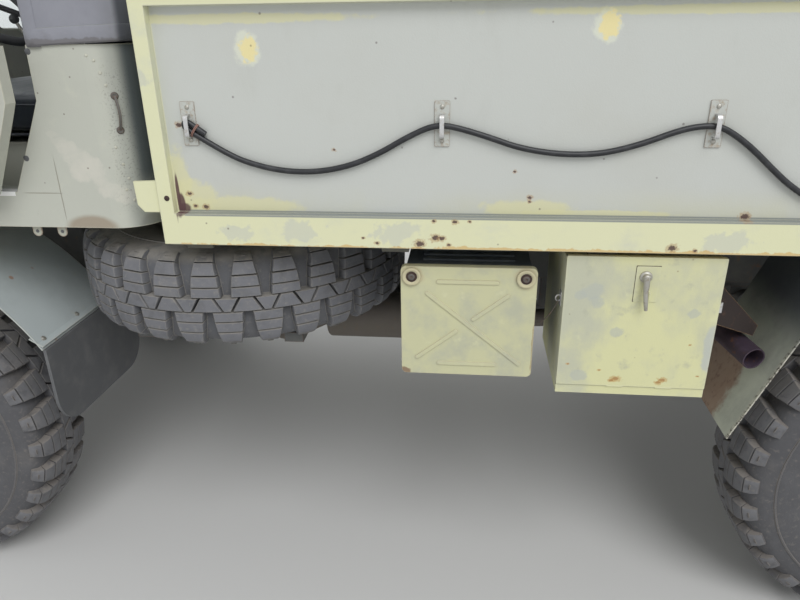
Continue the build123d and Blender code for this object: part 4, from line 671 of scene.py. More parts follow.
# Seats: foam cushions and backs under black vinyl, sewn with a piped seam round each edge and flat channels
# across the face. They rest on steel boxes bolted to the cab floor.
vinyl = Finish("seat_vinyl_black", (0.017, 0.021, 0.027), 0.34)
vinyl.cloud(0.08, 5, 0.45, 0.8, (0.075, 0.082, 0.092), 0.55, 0.6)
vinyl.cloud(0.015, 5, 0.6, 0.8, (0.11, 0.11, 0.105), 0.7, 0.4)
vinyl.lay(vinyl.grain(0.0022, 2, rough=0.4), height=0.00012).bumps(0.05, 3, 0.0025)
seat_vinyl = vinyl.done(0)


def pad_form(low, high, crown, waist, channels):
    """A pillow: a cube of 20 x 20 squares per face is pushed out by the 9-norm, so its edges are round. The
    faces across z rise by crown * (1 - x^2)(1 - y^2), less a groove at each channel, and the sides pull in by
    waist between the corners."""
    side = 20
    line = np.sin(np.linspace(-pi / 2, pi / 2, side + 1) * 0.96) / sin(pi / 2 * 0.96)
    u, v = np.meshgrid(line, line, indexing="ij")
    one = np.ones_like(u)
    cube = np.stack([np.stack(face, -1) for face in ((u, v, one), (v, u, -one), (one, u, v), (-one, v, u),
                                                     (v, one, u), (u, -one, v))]).reshape(-1, 3)
    power = 9.0
    ball = cube / (np.abs(cube) ** power).sum(-1, keepdims=True) ** (1 / power)
    x, y, z = ball.T
    groove = np.zeros_like(x)
    for k in range(channels):
        at = -0.62 + 1.24 * k / max(channels - 1, 1)
        groove += np.exp(-((x - at) / 0.022) ** 2)
    swell = crown * (1 - x ** 2) * (1 - y ** 2) - 0.010 * groove * (1 - y ** 6)
    pull = 1 - waist * (1 - np.stack([y, x], -1) ** 2)
    centre = (np.array(low) + np.array(high)) / 2
    size = (np.array(high) - np.array(low)) / 2
    points = np.stack([x * pull[:, 0], y * pull[:, 1], z], -1) * (size - (0, 0, crown)) + centre
    points[:, 2] += np.where(z > 0, swell * z, swell * z * 0.1)
    count = side + 1
    faces = np.concatenate([quads(count, count) + k * count * count for k in range(6)])
    return points, [faces]


def rounded(x0, x1, z0, z1, radius, steps=6):
    """The outline of a rectangle whose corners are quarter circles of the given radius."""
    a = np.linspace(0, pi / 2, steps)
    corners = [(x1 - radius, z1 - radius, 0), (x0 + radius, z1 - radius, 1), (x0 + radius, z0 + radius, 2),
               (x1 - radius, z0 + radius, 3)]
    return np.concatenate([np.stack([x + radius * np.cos(a + k * pi / 2), z + radius * np.sin(a + k * pi / 2)], -1)
                           for x, z, k in corners])


def piping(low, high, z, inset):
    """A cord sewn in round a cushion: the rounded outline of the cushion at height z."""
    ring = rounded(low[0] + inset, high[0] - inset, low[1] + inset, high[1] - inset, 0.030, 8)
    path = np.stack([ring[:, 0], ring[:, 1], np.full(len(ring), z)], -1)
    return tube(path, PIPING_RADIUS, 8, closed=True)


cushion_low, cushion_high = (np.array(corner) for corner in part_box("seat_cushions"))
back_low, back_high = (np.array(corner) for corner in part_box("seat_backs"))
seat_width = 0.48
PIPING_RADIUS, PIPING_HEIGHTS = 0.0035, (1.376, 1.307)
BACK_FOOT, BACK_HEAD, BACK_THICKNESS = 1.286, 1.83, 0.088
for hand, y in (("left", cushion_high[1] - seat_width / 2), ("right", cushion_low[1] + seat_width / 2)):
    low = np.array((cushion_low[0] + 0.003, y - seat_width / 2 + 0.003, cushion_low[2]))
    high = np.array((cushion_high[0] - 0.003, y + seat_width / 2 - 0.003, cushion_high[2] - 0.002))
    base = pad_form(low, high, 0.026, 0.010, channels=4)
    cushion = piece(f"cushion_{hand}", [base], seat_vinyl, crease=80)
    seams = piece(f"cushion_piping_{hand}", [piping(low, high, z, 0.004) for z in PIPING_HEIGHTS], seat_vinyl,
                  crease=80)
    low = np.array((0, y - seat_width / 2 + 0.003, back_low[2] + 0.002))
    half_rise = (back_high[2] - back_low[2]) / 2
    form, faces = pad_form((-half_rise, low[1], 0), (half_rise, low[1] + seat_width - 0.006, BACK_THICKNESS), 0.020,
                           0.008, channels=5)
    rise = form[:, 0] + (back_high[2] + back_low[2]) / 2
    share = np.clip((rise - 1.50) / 0.33, 0, 1)
    front = 0.735 - 0.045 * share
    depth_of = form[:, 2] / BACK_THICKNESS
    rear = np.interp(rise, (BACK_FOOT, BACK_HEAD), (0.640, 0.600))
    stood = np.stack([rear + (front - rear) * depth_of, form[:, 1], rise], -1)
    stood[:, 2] = np.minimum(stood[:, 2], back_high[2])
    back = piece(f"seat_back_{hand}", [(stood, faces)], seat_vinyl, crease=80)
    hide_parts("seat_cushions")
    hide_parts("seat_backs")

# Frame, axles and running gear: pressed and cast steel in one dark grey coat, dulled by road dust, with
# rust showing through on edges and in patches.
dark_steel = Finish("chassis_steel", (0.105, 0.108, 0.105), 0.65, 0.2)
dark_steel.cloud(0.12, 6, 0.45, 0.75, (0.19, 0.185, 0.165), 0.9, 0.7)
dark_steel.cloud(0.03, 6, 0.58, 0.75, RUST, 0.9, 0.6)
dark_steel.rubbed(0.004, (0.20, 0.12, 0.08), 0.8, 0.5)
dark_steel.bumps(0.006, 4, 0.0008)
chassis_steel = dark_steel.done(0.002)
coat(chassis_steel, "chassis_frame", "front_axle", "rear_axle", "knuckle_left", "knuckle_right", "leaf_springs",
     "driveline", "engine_block", "spare_carrier")

# Cab, doors and bonnet: the same grey-green paint, but sun-bleached and never touched up, with a brown stain low on
# the side, specks of grime near the rear corner, bare chalky patches where boots and hands have rubbed, and painted
# shade that darkens the rounded rear corner, its upper rear edge and a patch low at the rear.
cab_coat = Finish("cab_paint", (0.485, 0.495, 0.435), 0.6)
cab_coat.cloud(0.30, 5, 0.45, 0.75, (0.44, 0.44, 0.385), 0.65, 0.8)
cab_coat.cloud(0.06, 6, 0.55, 0.78, (0.56, 0.565, 0.47), 0.6, 0.6)
cab_coat.cloud(0.02, 6, 0.64, 0.78, (0.33, 0.325, 0.27), 0.8, 0.5)
cab_coat.patch((0.685, 0.96, 1.117), (0.062, 0.1, 0.031), 0.05, 0.05, (0.33, 0.28, 0.215), 0.8, 0.95)
# Painted shade: a dark patch low at the cab's rear corner.
cab_coat.patch((0.548, 0.92, 1.120), (0.034, 0.1, 0.030), 0.1, 0.05, (0.20, 0.19, 0.165), 0.85, 0.7)
for step in np.linspace(0, 1, 17):
    streak = (0.735 - 0.150 * step, 0.96, 1.330 - 0.150 * step ** 0.8)
    size = 0.009 + 0.013 * sin(pi * step)
    cab_coat.patch(streak, (size * 1.7, 0.1, size), 0.9, 0.05, (0.61, 0.59, 0.52), 0.6, 0.22)
for centre, reach in (((0.747, 0.96, 1.205), (0.0011, 0.02, 0.075)), ((0.79, 0.96, 1.1975), (0.048, 0.02, 0.0011))):
    line = cab_coat.spot(centre, reach, 0.0)
    cab_coat.lay(line, (0.30, 0.28, 0.22), 0.8, 0.8).lay(line, height=-0.0008)
corner_dirt = cab_coat.both(cab_coat.along(0, 0.625, 0.575), cab_coat.along(2, 1.13, 1.2), cab_coat.along(
    2, 1.50, 1.42), cab_coat.fade(cab_coat.grain(0.004, 6), 0.56, 0.62))
cab_coat.lay(corner_dirt, (0.13, 0.115, 0.10), 0.8, 0.7)
# Painted shade: the rounded rear corner darkens towards the rear, near black above about 1.2 m along the rear edge.
cab_coat.shade(0, 0.610, 0.575, (0.27, 0.285, 0.27), 0.7, 0.6)
cab_coat.lay(cab_coat.both(cab_coat.along(0, 0.580, 0.558), cab_coat.along(2, 1.15, 1.25)),
             (0.052, 0.066, 0.076), 0.8, 0.92)
cab_coat.specks(0.010, 0.012, (0.10, 0.065, 0.05), 0.85, 0.6)
cab_coat.rubbed(0.005, (0.60, 0.585, 0.47), 0.6, 0.6)
cab_coat.bumps(0.5, 3, 0.006).bumps(0.003, 2, 0.00025)
cab_paint = cab_coat.done(0.002)
coat(cab_paint, "cab_shell", "cab_cowl", "cab_floor", "bonnet", "grille_panel", "door_left", "door_right",
     "windscreen_frame", "seat_bases", "front_bumper")

# Wings and rear mudguards: the cab's paint where only road spray reaches, greyed. The wing's rear slope is blue-grey,
# partly road dirt and partly painted shade. The rear guard's lower half has lost its paint to stones and rusts brown,
# with a paler outer edge, and its top is painted blue-black as painted shade under the cargo body.
wing_coat = Finish("wing_paint", (0.465, 0.48, 0.43), 0.62)
# Painted shade, partly road dirt: blue-grey on the wing behind x 1.02 m.
wing_coat.shade(0, 1.22, 1.02, (0.405, 0.45, 0.455), 0.75, 0.95)
wing_coat.cloud(0.16, 6, 0.42, 0.75, (0.32, 0.35, 0.35), 0.75, 0.6)
wing_coat.cloud(0.03, 6, 0.58, 0.78, (0.42, 0.43, 0.37), 0.7, 0.55)
wing_coat.specks(0.03, 0.04, RUST, 0.85, 0.7)
wing_coat.rubbed(0.005, (0.52, 0.52, 0.46), 0.6, 0.7)
wing_coat.bumps(0.4, 3, 0.006).bumps(0.003, 2, 0.0003)
wing_paint = wing_coat.done(0.002)
coat(wing_paint, "front_wings")
guard_coat = Finish("guard_paint", (0.52, 0.545, 0.46), 0.65)
guard_coat.cloud(0.10, 6, 0.4, 0.7, (0.36, 0.375, 0.33), 0.8, 0.8)
rusting = guard_coat.both(guard_coat.along(1, 0.945, 0.80), guard_coat.along(2, 0.86, 0.72))
rusting = guard_coat.fade(guard_coat.sum("MULTIPLY_ADD", guard_coat.grain(0.05, 6), 0.9, guard_coat.sum(
    "ADD", rusting, -0.55)), 0.30, 0.65)
guard_coat.lay(rusting, (0.30, 0.18, 0.125), 0.9, 0.8)
deep_rust = guard_coat.both(rusting, guard_coat.fade(guard_coat.grain(0.02, 6), 0.50, 0.75))
guard_coat.lay(deep_rust, (0.16, 0.085, 0.075), 0.95, 0.7)
guard_coat.shade(1, 0.950, 0.962, (0.56, 0.54, 0.45), 0.6, 0.6)
edge_dirt = guard_coat.both(guard_coat.along(1, 0.952, 0.962), guard_coat.fade(guard_coat.grain(0.008, 6), 0.5, 0.6))
guard_coat.lay(edge_dirt, (0.05, 0.035, 0.03), 0.9, 0.8)
# Painted shade: the guard's top, under the cargo body, goes blue-black upwards.
guard_coat.shade(2, 0.81, 0.95, (0.036, 0.044, 0.064), 0.85, 0.9)
guard_coat.bumps(0.003, 4, 0.0006)
coat(guard_coat.done(0.0015), "mudguards")

# Wheels: pressed steel discs and rims painted grey-green, chipped at the flanges and dusty in the dish.
wheel_coat = Finish("wheel_paint", (0.40, 0.41, 0.345), 0.6)
wheel_coat.cloud(0.07, 6, 0.42, 0.7, (0.47, 0.455, 0.38), 0.8, 0.7)
wheel_coat.cloud(0.025, 6, 0.6, 0.75, RUST, 0.85, 0.7)
wheel_coat.rubbed(0.005, (0.28, 0.15, 0.09), 0.8, 0.6).bumps(0.004, 3, 0.0004)
wheel_paint = wheel_coat.done(0.002)
coat(wheel_paint, *(f"rim_{place}" for place in ("front_left", "front_right", "rear_left", "rear_right", "spare")))

# Flaps, mirror backs, steering wheel and rear lamp boxes: black moulded rubber and plastic, greyed by dust.
flap_coat = Finish("flap_rubber", (0.098, 0.101, 0.106), 0.6)
flap_coat.cloud(0.06, 6, 0.45, 0.75, (0.160, 0.160, 0.160), 0.8, 0.6)
flap_coat.rubbed(0.004, (0.16, 0.165, 0.17), 0.8, 0.6).bumps(0.003, 3, 0.0003)
flap_rubber = flap_coat.done(0.001)
coat(flap_rubber, "front_flaps", "mirrors", "tail_lamps", "steering_wheel")

# Exhaust: mild steel pipe and silencer, burnt to a purple brown with pale scale.
pipe_coat = Finish("exhaust_scale", (0.060, 0.042, 0.062), 0.6, 0.35)
pipe_coat.cloud(0.05, 6, 0.42, 0.7, (0.115, 0.082, 0.125), 0.8, 0.7)
pipe_coat.cloud(0.015, 6, 0.56, 0.75, (0.20, 0.09, 0.045), 0.9, 0.7)
pipe_coat.bumps(0.003, 4, 0.0005)
pipe_coat.shade(1, 0.575, 0.555, (0.175, 0.160, 0.125), 0.75, 0.72)
coat(pipe_coat.done(0.001), "exhaust")

# Boxes: folded steel battery box and toolbox, brushed over in a yellower green that is worn to grey.
box_coat = Finish("box_paint", (0.655, 0.65, 0.375), 0.6)
box_coat.cloud(0.16, 6, 0.42, 0.68, (0.48, 0.49, 0.395), 0.6, 0.85, stretch=(1, 1, 1.4))
box_coat.cloud(0.035, 6, 0.56, 0.76, (0.42, 0.425, 0.33), 0.7, 0.6)
box_coat.cloud(0.05, 5, 0.62, 0.78, (0.66, 0.66, 0.42), 0.6, 0.7)
for x, z, half in ((-0.450, 0.999, 0.022), (-0.462, 0.975, 0.018), (-0.425, 0.990, 0.012), (-0.669, 0.955, 0.014),
                   (-0.437, 0.792, 0.018), (-0.513, 0.905, 0.016), (-0.11, 0.93, 0.02), (-0.20, 0.90, 0.025)):
    box_coat.patch((x, 0.98, z), (half, 0.1, half * 0.8), 0.5, 0.03, (0.44, 0.465, 0.42), 0.6, 0.6)
box_coat.patch((-0.718, 0.985, 0.868), (0.018, 0.1, 0.062), 0.3, 0.03, (0.47, 0.495, 0.46), 0.6, 0.8)
for x, z, size in ((-0.521, 0.786, 0.008), (-0.512, 0.781, 0.005), (-0.625, 0.787, 0.007), (-0.617, 0.780, 0.006),
                   (-0.483, 0.807, 0.003), (-0.412, 0.820, 0.003), (-0.672, 0.878, 0.0025), (-0.700, 0.80, 0.0025)):
    box_coat.patch((x, 0.98, z), (size * 1.8, 0.1, size), 0.5, 0.008, (0.53, 0.36, 0.14), 0.8, 0.6)
    box_coat.patch((x, 0.98, z), (size, 0.1, size * 0.6), 0.5, 0.005, (0.34, 0.16, 0.05), 0.85, 0.7)
box_coat.specks(0.009, 0.012, (0.20, 0.12, 0.06), 0.85, 0.5)
box_coat.rubbed(0.004, (0.66, 0.655, 0.47), 0.6, 0.5)
box_coat.bumps(0.4, 3, 0.005).bumps(0.003, 2, 0.0003)
box_paint = box_coat.done(0.0015)
coat(box_paint, "toolbox", "fuel_tank")
cover_coat = Finish("cover_paint", (0.555, 0.55, 0.345), 0.6)
cover_coat.cloud(0.08, 6, 0.42, 0.70, (0.425, 0.435, 0.345), 0.6, 0.75)
cover_coat.cloud(0.03, 6, 0.58, 0.75, (0.63, 0.625, 0.41), 0.6, 0.6)
CUPS_X, CUPS_Z = (-0.052, -0.308), 1.0165
for x in CUPS_X:
    cover_coat.patch((x, 0.96, CUPS_Z), (0.027, 0.1, 0.027), 0.25, 0.02, (0.52, 0.46, 0.30), 0.7, 0.7)
cover_coat.patch((-0.030, 0.96, 0.772), (0.018, 0.1, 0.012), 0.4, 0.02, (0.20, 0.115, 0.075), 0.85, 0.85)
cover_coat.patch((-0.332, 0.96, 0.85), (0.003, 0.1, 0.07), 0.5, 0.02, (0.33, 0.24, 0.13), 0.85, 0.7)
cover_coat.rubbed(0.004, (0.56, 0.52, 0.37), 0.6, 0.6).bumps(0.3, 3, 0.003)
cover_paint = cover_coat.done(0.002)
floor_coat = Finish("bed_floor_paint", (0.42, 0.43, 0.35), 0.7)
floor_coat.cloud(0.12, 6, 0.45, 0.7, (0.30, 0.30, 0.25), 0.85, 0.8, stretch=(3, 1, 1))
# Painted shade: the floor's bearers below 1.10 m, under the cargo body, are painted near black.
floor_coat.shade(2, 1.145, 1.10, (0.10, 0.10, 0.088), 0.85, 0.95)
floor_coat.bumps(0.004, 4, 0.0006)
coat(floor_coat.done(0.002), "bed_floor")
# Dark blue-grey, partly painted shade for the box under the rail.
case_coat = Finish("battery_case", (0.075, 0.092, 0.110), 0.6)
case_coat.cloud(0.05, 6, 0.42, 0.75, (0.125, 0.14, 0.15), 0.8, 0.7)
case_coat.bumps(0.004, 3, 0.0004)
case_paint = case_coat.done(0.001)

# Glass: flat clear panes in the windscreen, and pale, silvery fronts on the headlamps.
pane = Finish("clear_pane", (0.86, 0.90, 0.89), 0.03)
pane.shader.inputs["Transmission Weight"].default_value = 0.95
pane.shader.inputs["IOR"].default_value = 1.45
pane.cloud(0.06, 5, 0.5, 0.9, (0.70, 0.72, 0.68), 0.18, 0.5)
clear_pane = pane.done(0)
coat(clear_pane, "windscreen_glass")
lamp = Finish("lamp_front", (0.80, 0.80, 0.78), 0.15, 0.5)
lamp.cloud(0.03, 5, 0.5, 0.8, (0.5, 0.5, 0.46), 0.4, 0.5)
coat(lamp.done(0.001), "headlamps")

# Staples: a bent steel strap welded to a small plate, four along each side, each plate held by two screws.
# The cord is passed behind the straps.
staple_coat = Finish("staple_paint", (0.50, 0.515, 0.48), 0.6)
staple_coat.cloud(0.012, 5, 0.48, 0.7, (0.34, 0.25, 0.16), 0.8, 0.7)
staple_coat.rubbed(0.002, (0.25, 0.15, 0.10), 0.8, 0.8)
staple_coat.bumps(0.002, 3, 0.0003)
staple_paint = staple_coat.done(0.0006)
strap_metal = Finish("strap_metal", (0.60, 0.60, 0.60), 0.38, 0.75).cloud(
    0.008, 5, 0.5, 0.7, (0.40, 0.36, 0.30), 0.6, 0.6).bumps(0.002, 3, 0.0002).done(0.0006)


def plate(outline, plane, low, high):
    """A flat plate: its outline in two axes of plane ("xz", "yz" or "xy"), between low and high on the third."""
    outline = np.asarray(outline, float)
    count = len(outline)
    axes = ["xyz".index(letter) for letter in plane]
    points = np.empty((2, count, 3))
    points[..., axes] = outline
    points[0, :, 3 - sum(axes)] = min(low, high)
    points[1, :, 3 - sum(axes)] = max(low, high)
    return points.reshape(-1, 3), [quads(2, count, False, True), np.arange(count)[None, ::-1],
                                   count + np.arange(count)[None]]


def bend(points, radius, steps=7):
    """A path along straight runs whose inner corners are rounded: each corner p gives the quadratic arc
    (1-t)^2 (p + radius * back) + 2t(1-t) p + t^2 (p + radius * on)."""
    points = np.asarray(points, float)
    back = points[:-2] - points[1:-1]
    on = points[2:] - points[1:-1]
    reach = np.minimum(radius, 0.48 * np.minimum(np.linalg.norm(back, axis=1), np.linalg.norm(on, axis=1)))[:, None]
    back = back / np.linalg.norm(back, axis=1, keepdims=True) * reach
    on = on / np.linalg.norm(on, axis=1, keepdims=True) * reach
    t = np.linspace(0, 1, steps)[None, :, None]
    corner = points[1:-1, None]
    arcs = (1 - t) ** 2 * (corner + back[:, None]) + 2 * t * (1 - t) * corner + t ** 2 * (corner + on[:, None])
    return np.concatenate([points[:1], arcs.reshape(-1, 3), points[-1:]])


def flat_bar(path, wide, thick):
    """A flat bar along path: each point + a * wide + b * thick, where a and b are each -1 or 1."""
    ring = np.array([(-1, -1), (1, -1), (1, 1), (-1, 1)])
    points = path[:, None] + ring[None, :, :1] * np.reshape(wide, (-1, 1, 3)) + ring[None, :, 1:] * np.reshape(
        thick, (-1, 1, 3))
    count = 4 * len(path)
    return points.reshape(-1, 3), [quads(len(path), 4, False, True), np.arange(4)[None],
                                   np.arange(count - 4, count)[None, ::-1]]


plates, straps, screws = [], [], []
CARGO_WALL, STRAP_TOP, STRAP_FOOT = 0.980, 1.3735, 1.3285
screw_head = [(0, 0.0045), (0.001, 0.0047), (0.0022, 0.0038), (0.0030, 0.0022), (0.0032, 0.0004)]
for side in (1, -1):
    wall = CARGO_WALL * side
    for x in STAPLES_X:
        outline = rounded(x - 0.0155, x + 0.0155, 1.310, 1.400, 0.002, 4)
        plates.append(plate(outline, "xz", wall, wall + 0.003 * side))
        inner, outer = wall + 0.002 * side, wall + 0.020 * side
        corners = [(inner, STRAP_TOP), (outer, STRAP_TOP), (outer, STRAP_FOOT), (inner, STRAP_FOOT)]
        path = bend([(x, y, z) for y, z in corners], 0.009)
        step = np.gradient(path, axis=0)
        step /= np.linalg.norm(step, axis=1, keepdims=True)
        straps.append(flat_bar(path, (0.0045, 0, 0), np.cross(step, (1, 0, 0)) * 0.0016))
        for z in (1.3885, 1.3215):
            screws.append(turned(screw_head, (x, wall + 0.003 * side, z), (0, side, 0), 14))
piece("staple_plates", plates, staple_paint, stands_for=("staples",))
piece("staple_straps", straps, strap_metal)
piece("staple_screws", screws, zinc)

# Cab corner: the shell is folded from one sheet with a rounded rear corner. A column of rivets holds the
# pillar inside, a rusty strap for a tool is riveted on, and two rubber buffers stop the door.
CAB_Y, CORNER_START, CORNER_RADIUS = 0.960, 0.635, 0.09


def corner_spot(x, out):
    """The place on the cab's rounded rear corner at x, and its outward direction, for the left side."""
    reach = min(max((CORNER_START - x) / CORNER_RADIUS, 0), 0.98)
    direction = np.array((-reach, (1 - reach ** 2) ** 0.5, 0))
    return np.array((CORNER_START, CAB_Y - CORNER_RADIUS, 0)) + direction * (CORNER_RADIUS + out), direction


def rivet(place, axis, radius):
    """A round rivet head: radius * sin a outwards at radius * 0.5 * cos a of height."""
    a = np.linspace(pi / 2, 0.06, 5)
    return turned(np.stack([0.5 * radius * np.cos(a), radius * np.sin(a)], -1), place, axis, 12)


rivets = []
rivet_places = ((0.612, 1.480), (0.604, 1.455), (0.598, 1.430), (0.600, 1.3), (0.592, 1.262), (0.586, 1.230),
                (0.594, 1.205), (0.583, 1.180), (0.625, 1.490))
for x, z in rivet_places:
    place, direction = corner_spot(x, -0.0004)
    rivets.append(rivet(place + (0, 0, z), direction, 0.0036))
piece("corner_rivets", rivets, cab_paint)
rusty = Finish("rusty_iron", (0.050, 0.031, 0.027), 0.8, 0.2)
rusty.cloud(0.012, 6, 0.58, 0.75, (0.12, 0.095, 0.075), 0.7, 0.6)
rusty.cloud(0.05, 5, 0.5, 0.75, (0.060, 0.032, 0.026), 0.9, 0.7)
rusty.bumps(0.003, 4, 0.0005)
rusty_iron = rusty.done(0.001)
foot, direction = corner_spot(0.586, -0.0005)
height = np.linspace(0, 1, 17)
bow = 0.010 * np.sin(pi * height) ** 0.7
strap_line = foot + direction * (0.0015 + bow)[:, None] + np.stack(
    [-0.004 * np.sin(pi * height), np.zeros(17), 1.336 + 0.072 * height], -1)
strap_form = flat_bar(strap_line, np.cross(direction, (0, 0, 1)) * 0.0028, direction * 0.0013)
ends = [turned([(0, 0.0082), (0.0015, 0.0082), (0.0035, 0.0060), (0.0030, 0.0030), (0.0030, 0.0006)], foot + (0, 0, z),
               direction, 20) for z in (1.336, 1.408)]
piece("tool_strap", [strap_form] + ends, chassis_steel)
buffers = []
for x, z in ((0.752, 1.499), (0.811, 1.276)):
    dome = [(-0.002, 0.0075), (0.0012, 0.0075), (0.0022, 0.0060), (0.0024, 0.0005)]
    buffers.append(turned(dome, (x, CAB_Y - 0.0018, z), (0, 1, 0), 18))
piece("door_buffers", buffers, flap_rubber)


def brick(low, high, chamfer=0.0):
    """A squared bar between two corners, its upright corners cut off by chamfer."""
    (x0, y0, z0), (x1, y1, z1) = low, high
    y0, y1 = min(y0, y1), max(y0, y1)
    c = chamfer
    ring = [(x0 + c, y0), (x1 - c, y0), (x1, y0 + c), (x1, y1 - c), (x1 - c, y1), (x0 + c, y1), (x0, y1 - c),
            (x0, y0 + c)] if c else [(x0, y0), (x1, y0), (x1, y1), (x0, y1)]
    return plate(ring, "xy", z0, z1)


sill_metal = Finish("sill_plate", (0.86, 0.86, 0.84), 0.45)
sill_metal.cloud(0.02, 5, 0.55, 0.8, (0.66, 0.65, 0.60), 0.6, 0.5)
sill_metal.bumps(0.002, 3, 0.0002)
sills = []
for side in (1, -1):
    for inner, outer, low, high in ((0.9325, 0.9612, 1.1975, 1.2004), (0.9597, 0.9614, 1.1905, 1.2000)):
        sills.append(brick((0.858, side * inner, low), (1.440, side * outer, high), 0.0005))
piece("sill_strips", sills, sill_metal.done(0.0004))
# The sill tabs take the darker wheel paint, not the cab's: painted shade for their place under the cab's edge.
tabs, holes = [], []
for side in (1, -1):
    for x in (0.835, 0.773):
        a = np.linspace(pi, 2 * pi, 11)
        shape = np.concatenate([[(x + 0.0115, 1.121)], [(x - 0.0115, 1.121)],
                                np.stack([x + 0.0115 * np.cos(a), 1.102 + 0.0115 * np.sin(a)], -1)])
        tabs.append(plate(shape, "xz", side * 0.944, side * 0.947))
        hole = [(0, 0.0042), (0.0004, 0.0040), (0.0005, 0.0004)]
        holes.append(turned(hole, (x, side * 0.947, 1.103), (0, side, 0), 16))
piece("sill_tabs", tabs, wheel_paint)
piece("sill_tab_holes", holes, flap_rubber)


def bolt(place, axis, radius, height):
    """A bolt on a washer: a round lathe profile for the washer and a six-sided one for the head, out along axis."""
    washer = turned([(0, radius * 1.45), (0.0012, radius * 1.42), (0.0016, radius * 1.3)], place, axis, 18)
    head = turned([(0.0014, radius), (height * 0.8, radius), (height, radius * 0.8), (height + 0.0002, 0.0004)],
                  place, axis, 6)
    return [washer, head]


# Front flap strips: a steel strip clamps each rubber flap to the rear end of the wing with three bolts. They take
# the wing's paint, whose blue-grey there is partly painted shade.
slope = np.array((0.835, 0.551))
upward = np.array((-0.551, 0.835))
strips, strip_bolts = [], []
foot = np.array((0.8972, 0.7905))
STRIP_WIDTH, STRIP_FLOOR, STRIP_FACE = 0.040, 0.0012, 0.0042
outline = [foot + slope * u + upward * v for u, v in ((0, STRIP_FLOOR), (STRIP_WIDTH, STRIP_FLOOR),
                                                      (STRIP_WIDTH, STRIP_FACE), (0, STRIP_FACE))]
middle = foot + slope * STRIP_WIDTH / 2 + upward * STRIP_FACE
for side in (1, -1):
    strips.append(plate(outline, "xz", side * 0.560, side * 0.9485))
    for y in (0.920, 0.765, 0.610):
        strip_bolts += bolt((middle[0], side * y, middle[1]), (upward[0], 0, upward[1]), 0.0062, 0.004)
piece("flap_strips", strips, wing_paint)
piece("flap_bolts", strip_bolts, zinc)

# Exhaust bracket: a folded triangle of rusty sheet above the tailpipe, welded to the mudguard and the box. Its
# near-black rust is deepened with painted shade.
outer = np.array([(-0.738, 0.930, 1.000), (-0.853, 0.885, 0.885), (-0.846, 0.885, 0.858), (-0.742, 0.930, 0.905)])
folded = np.concatenate([outer[:2], outer[1::-1] - (0, 0.07, 0)])
forms = []
for face, thick in ((outer, (0, -0.0025, 0)), (folded, (-0.0015, 0, -0.002))):
    forms.append((np.concatenate([face, face + thick]), [quads(2, 4, False, True), np.arange(4)[None, ::-1],
                                                         np.arange(4, 8)[None]]))
# Painted shade: rust darkened nearly to black.
rust_with_painted_shade = Finish("bracket_rust_painted_shade", (0.026, 0.018, 0.016), 0.85)
rust_with_painted_shade.cloud(0.02, 6, 0.55, 0.75, (0.075, 0.040, 0.026), 0.9, 0.7)
rust_with_painted_shade.rubbed(0.002, (0.40, 0.24, 0.12), 0.8, 0.8).bumps(0.003, 3, 0.0004)
piece("pipe_bracket", forms, rust_with_painted_shade.done(0.001))

# Battery box and cover: a dark steel box with three ridges along its top hangs from the bearers on two
# straps. Its mouth is closed by a shallow pressed cover, stiffened by a cross of ribs and two short ribs. The
# box's dark blue-grey is partly painted shade, for its place under the rail.
box_right, box_left, box_foot, box_head = -0.321, -0.039, 0.780, 1.036
case_form = [brick((box_right, 0.620, box_foot), (box_left, 0.9405, box_head), 0.003)]
for y in (0.900, 0.865, 0.830):
    case_form.append(brick((box_right + 0.035, y - 0.005, box_head), (box_left - 0.035, y + 0.005, box_head + 0.004),
                           0.002))
for x in (box_right + 0.03, box_left - 0.03):
    case_form.append(brick((x - 0.015, 0.640, box_head), (x + 0.015, 0.780, 1.147)))
piece("battery_case", case_form, case_paint, stands_for=("battery_box",))


def bead(x, z, length, slope):
    """The outline of a pressed bead: two half circles joined by straight sides, turned by slope degrees."""
    width = 0.009
    a = np.linspace(-pi / 2, pi / 2, 9)
    end = np.stack([(length - width) / 2 + width / 2 * np.cos(a), width / 2 * np.sin(a)], -1)
    ring = np.concatenate([end, -end])
    turn = radians(slope)
    return ring @ np.array([(cos(turn), sin(turn)), (-sin(turn), cos(turn))]) + (x, z)


COVER_MOUTH, COVER_FLOOR, COVER_FACE, RIB_FACE = 0.9405, 0.9585, 0.9600, 0.9625
outline = rounded(-0.333, -0.027, 0.768, 1.040, 0.012, 7)
inner = rounded(-0.3315, -0.0285, 0.7695, 1.0385, 0.0105, 7)
count = len(outline)
rim_points = np.concatenate([np.insert(ring, 1, y, axis=1) for ring, y in (
    (outline, COVER_FLOOR), (outline, COVER_MOUTH), (inner, COVER_MOUTH), (inner, COVER_FLOOR))])
cover_form = [plate(outline, "xz", COVER_FLOOR, COVER_FACE), (rim_points, [quads(4, count, False, True)])]
for x, z, length, slope in ((-0.195, 0.889, 0.286, 39), (-0.232, 0.944, 0.107, -38), (-0.109, 0.847, 0.123, -38),
                            (-0.179, 1.005, 0.142, 0), (-0.181, 0.798, 0.140, 0)):
    cover_form.append(plate(bead(x, z, length, slope), "xz", COVER_FACE, RIB_FACE))
piece("battery_cover_pan", cover_form, cover_paint, stands_for=("battery_cover",))

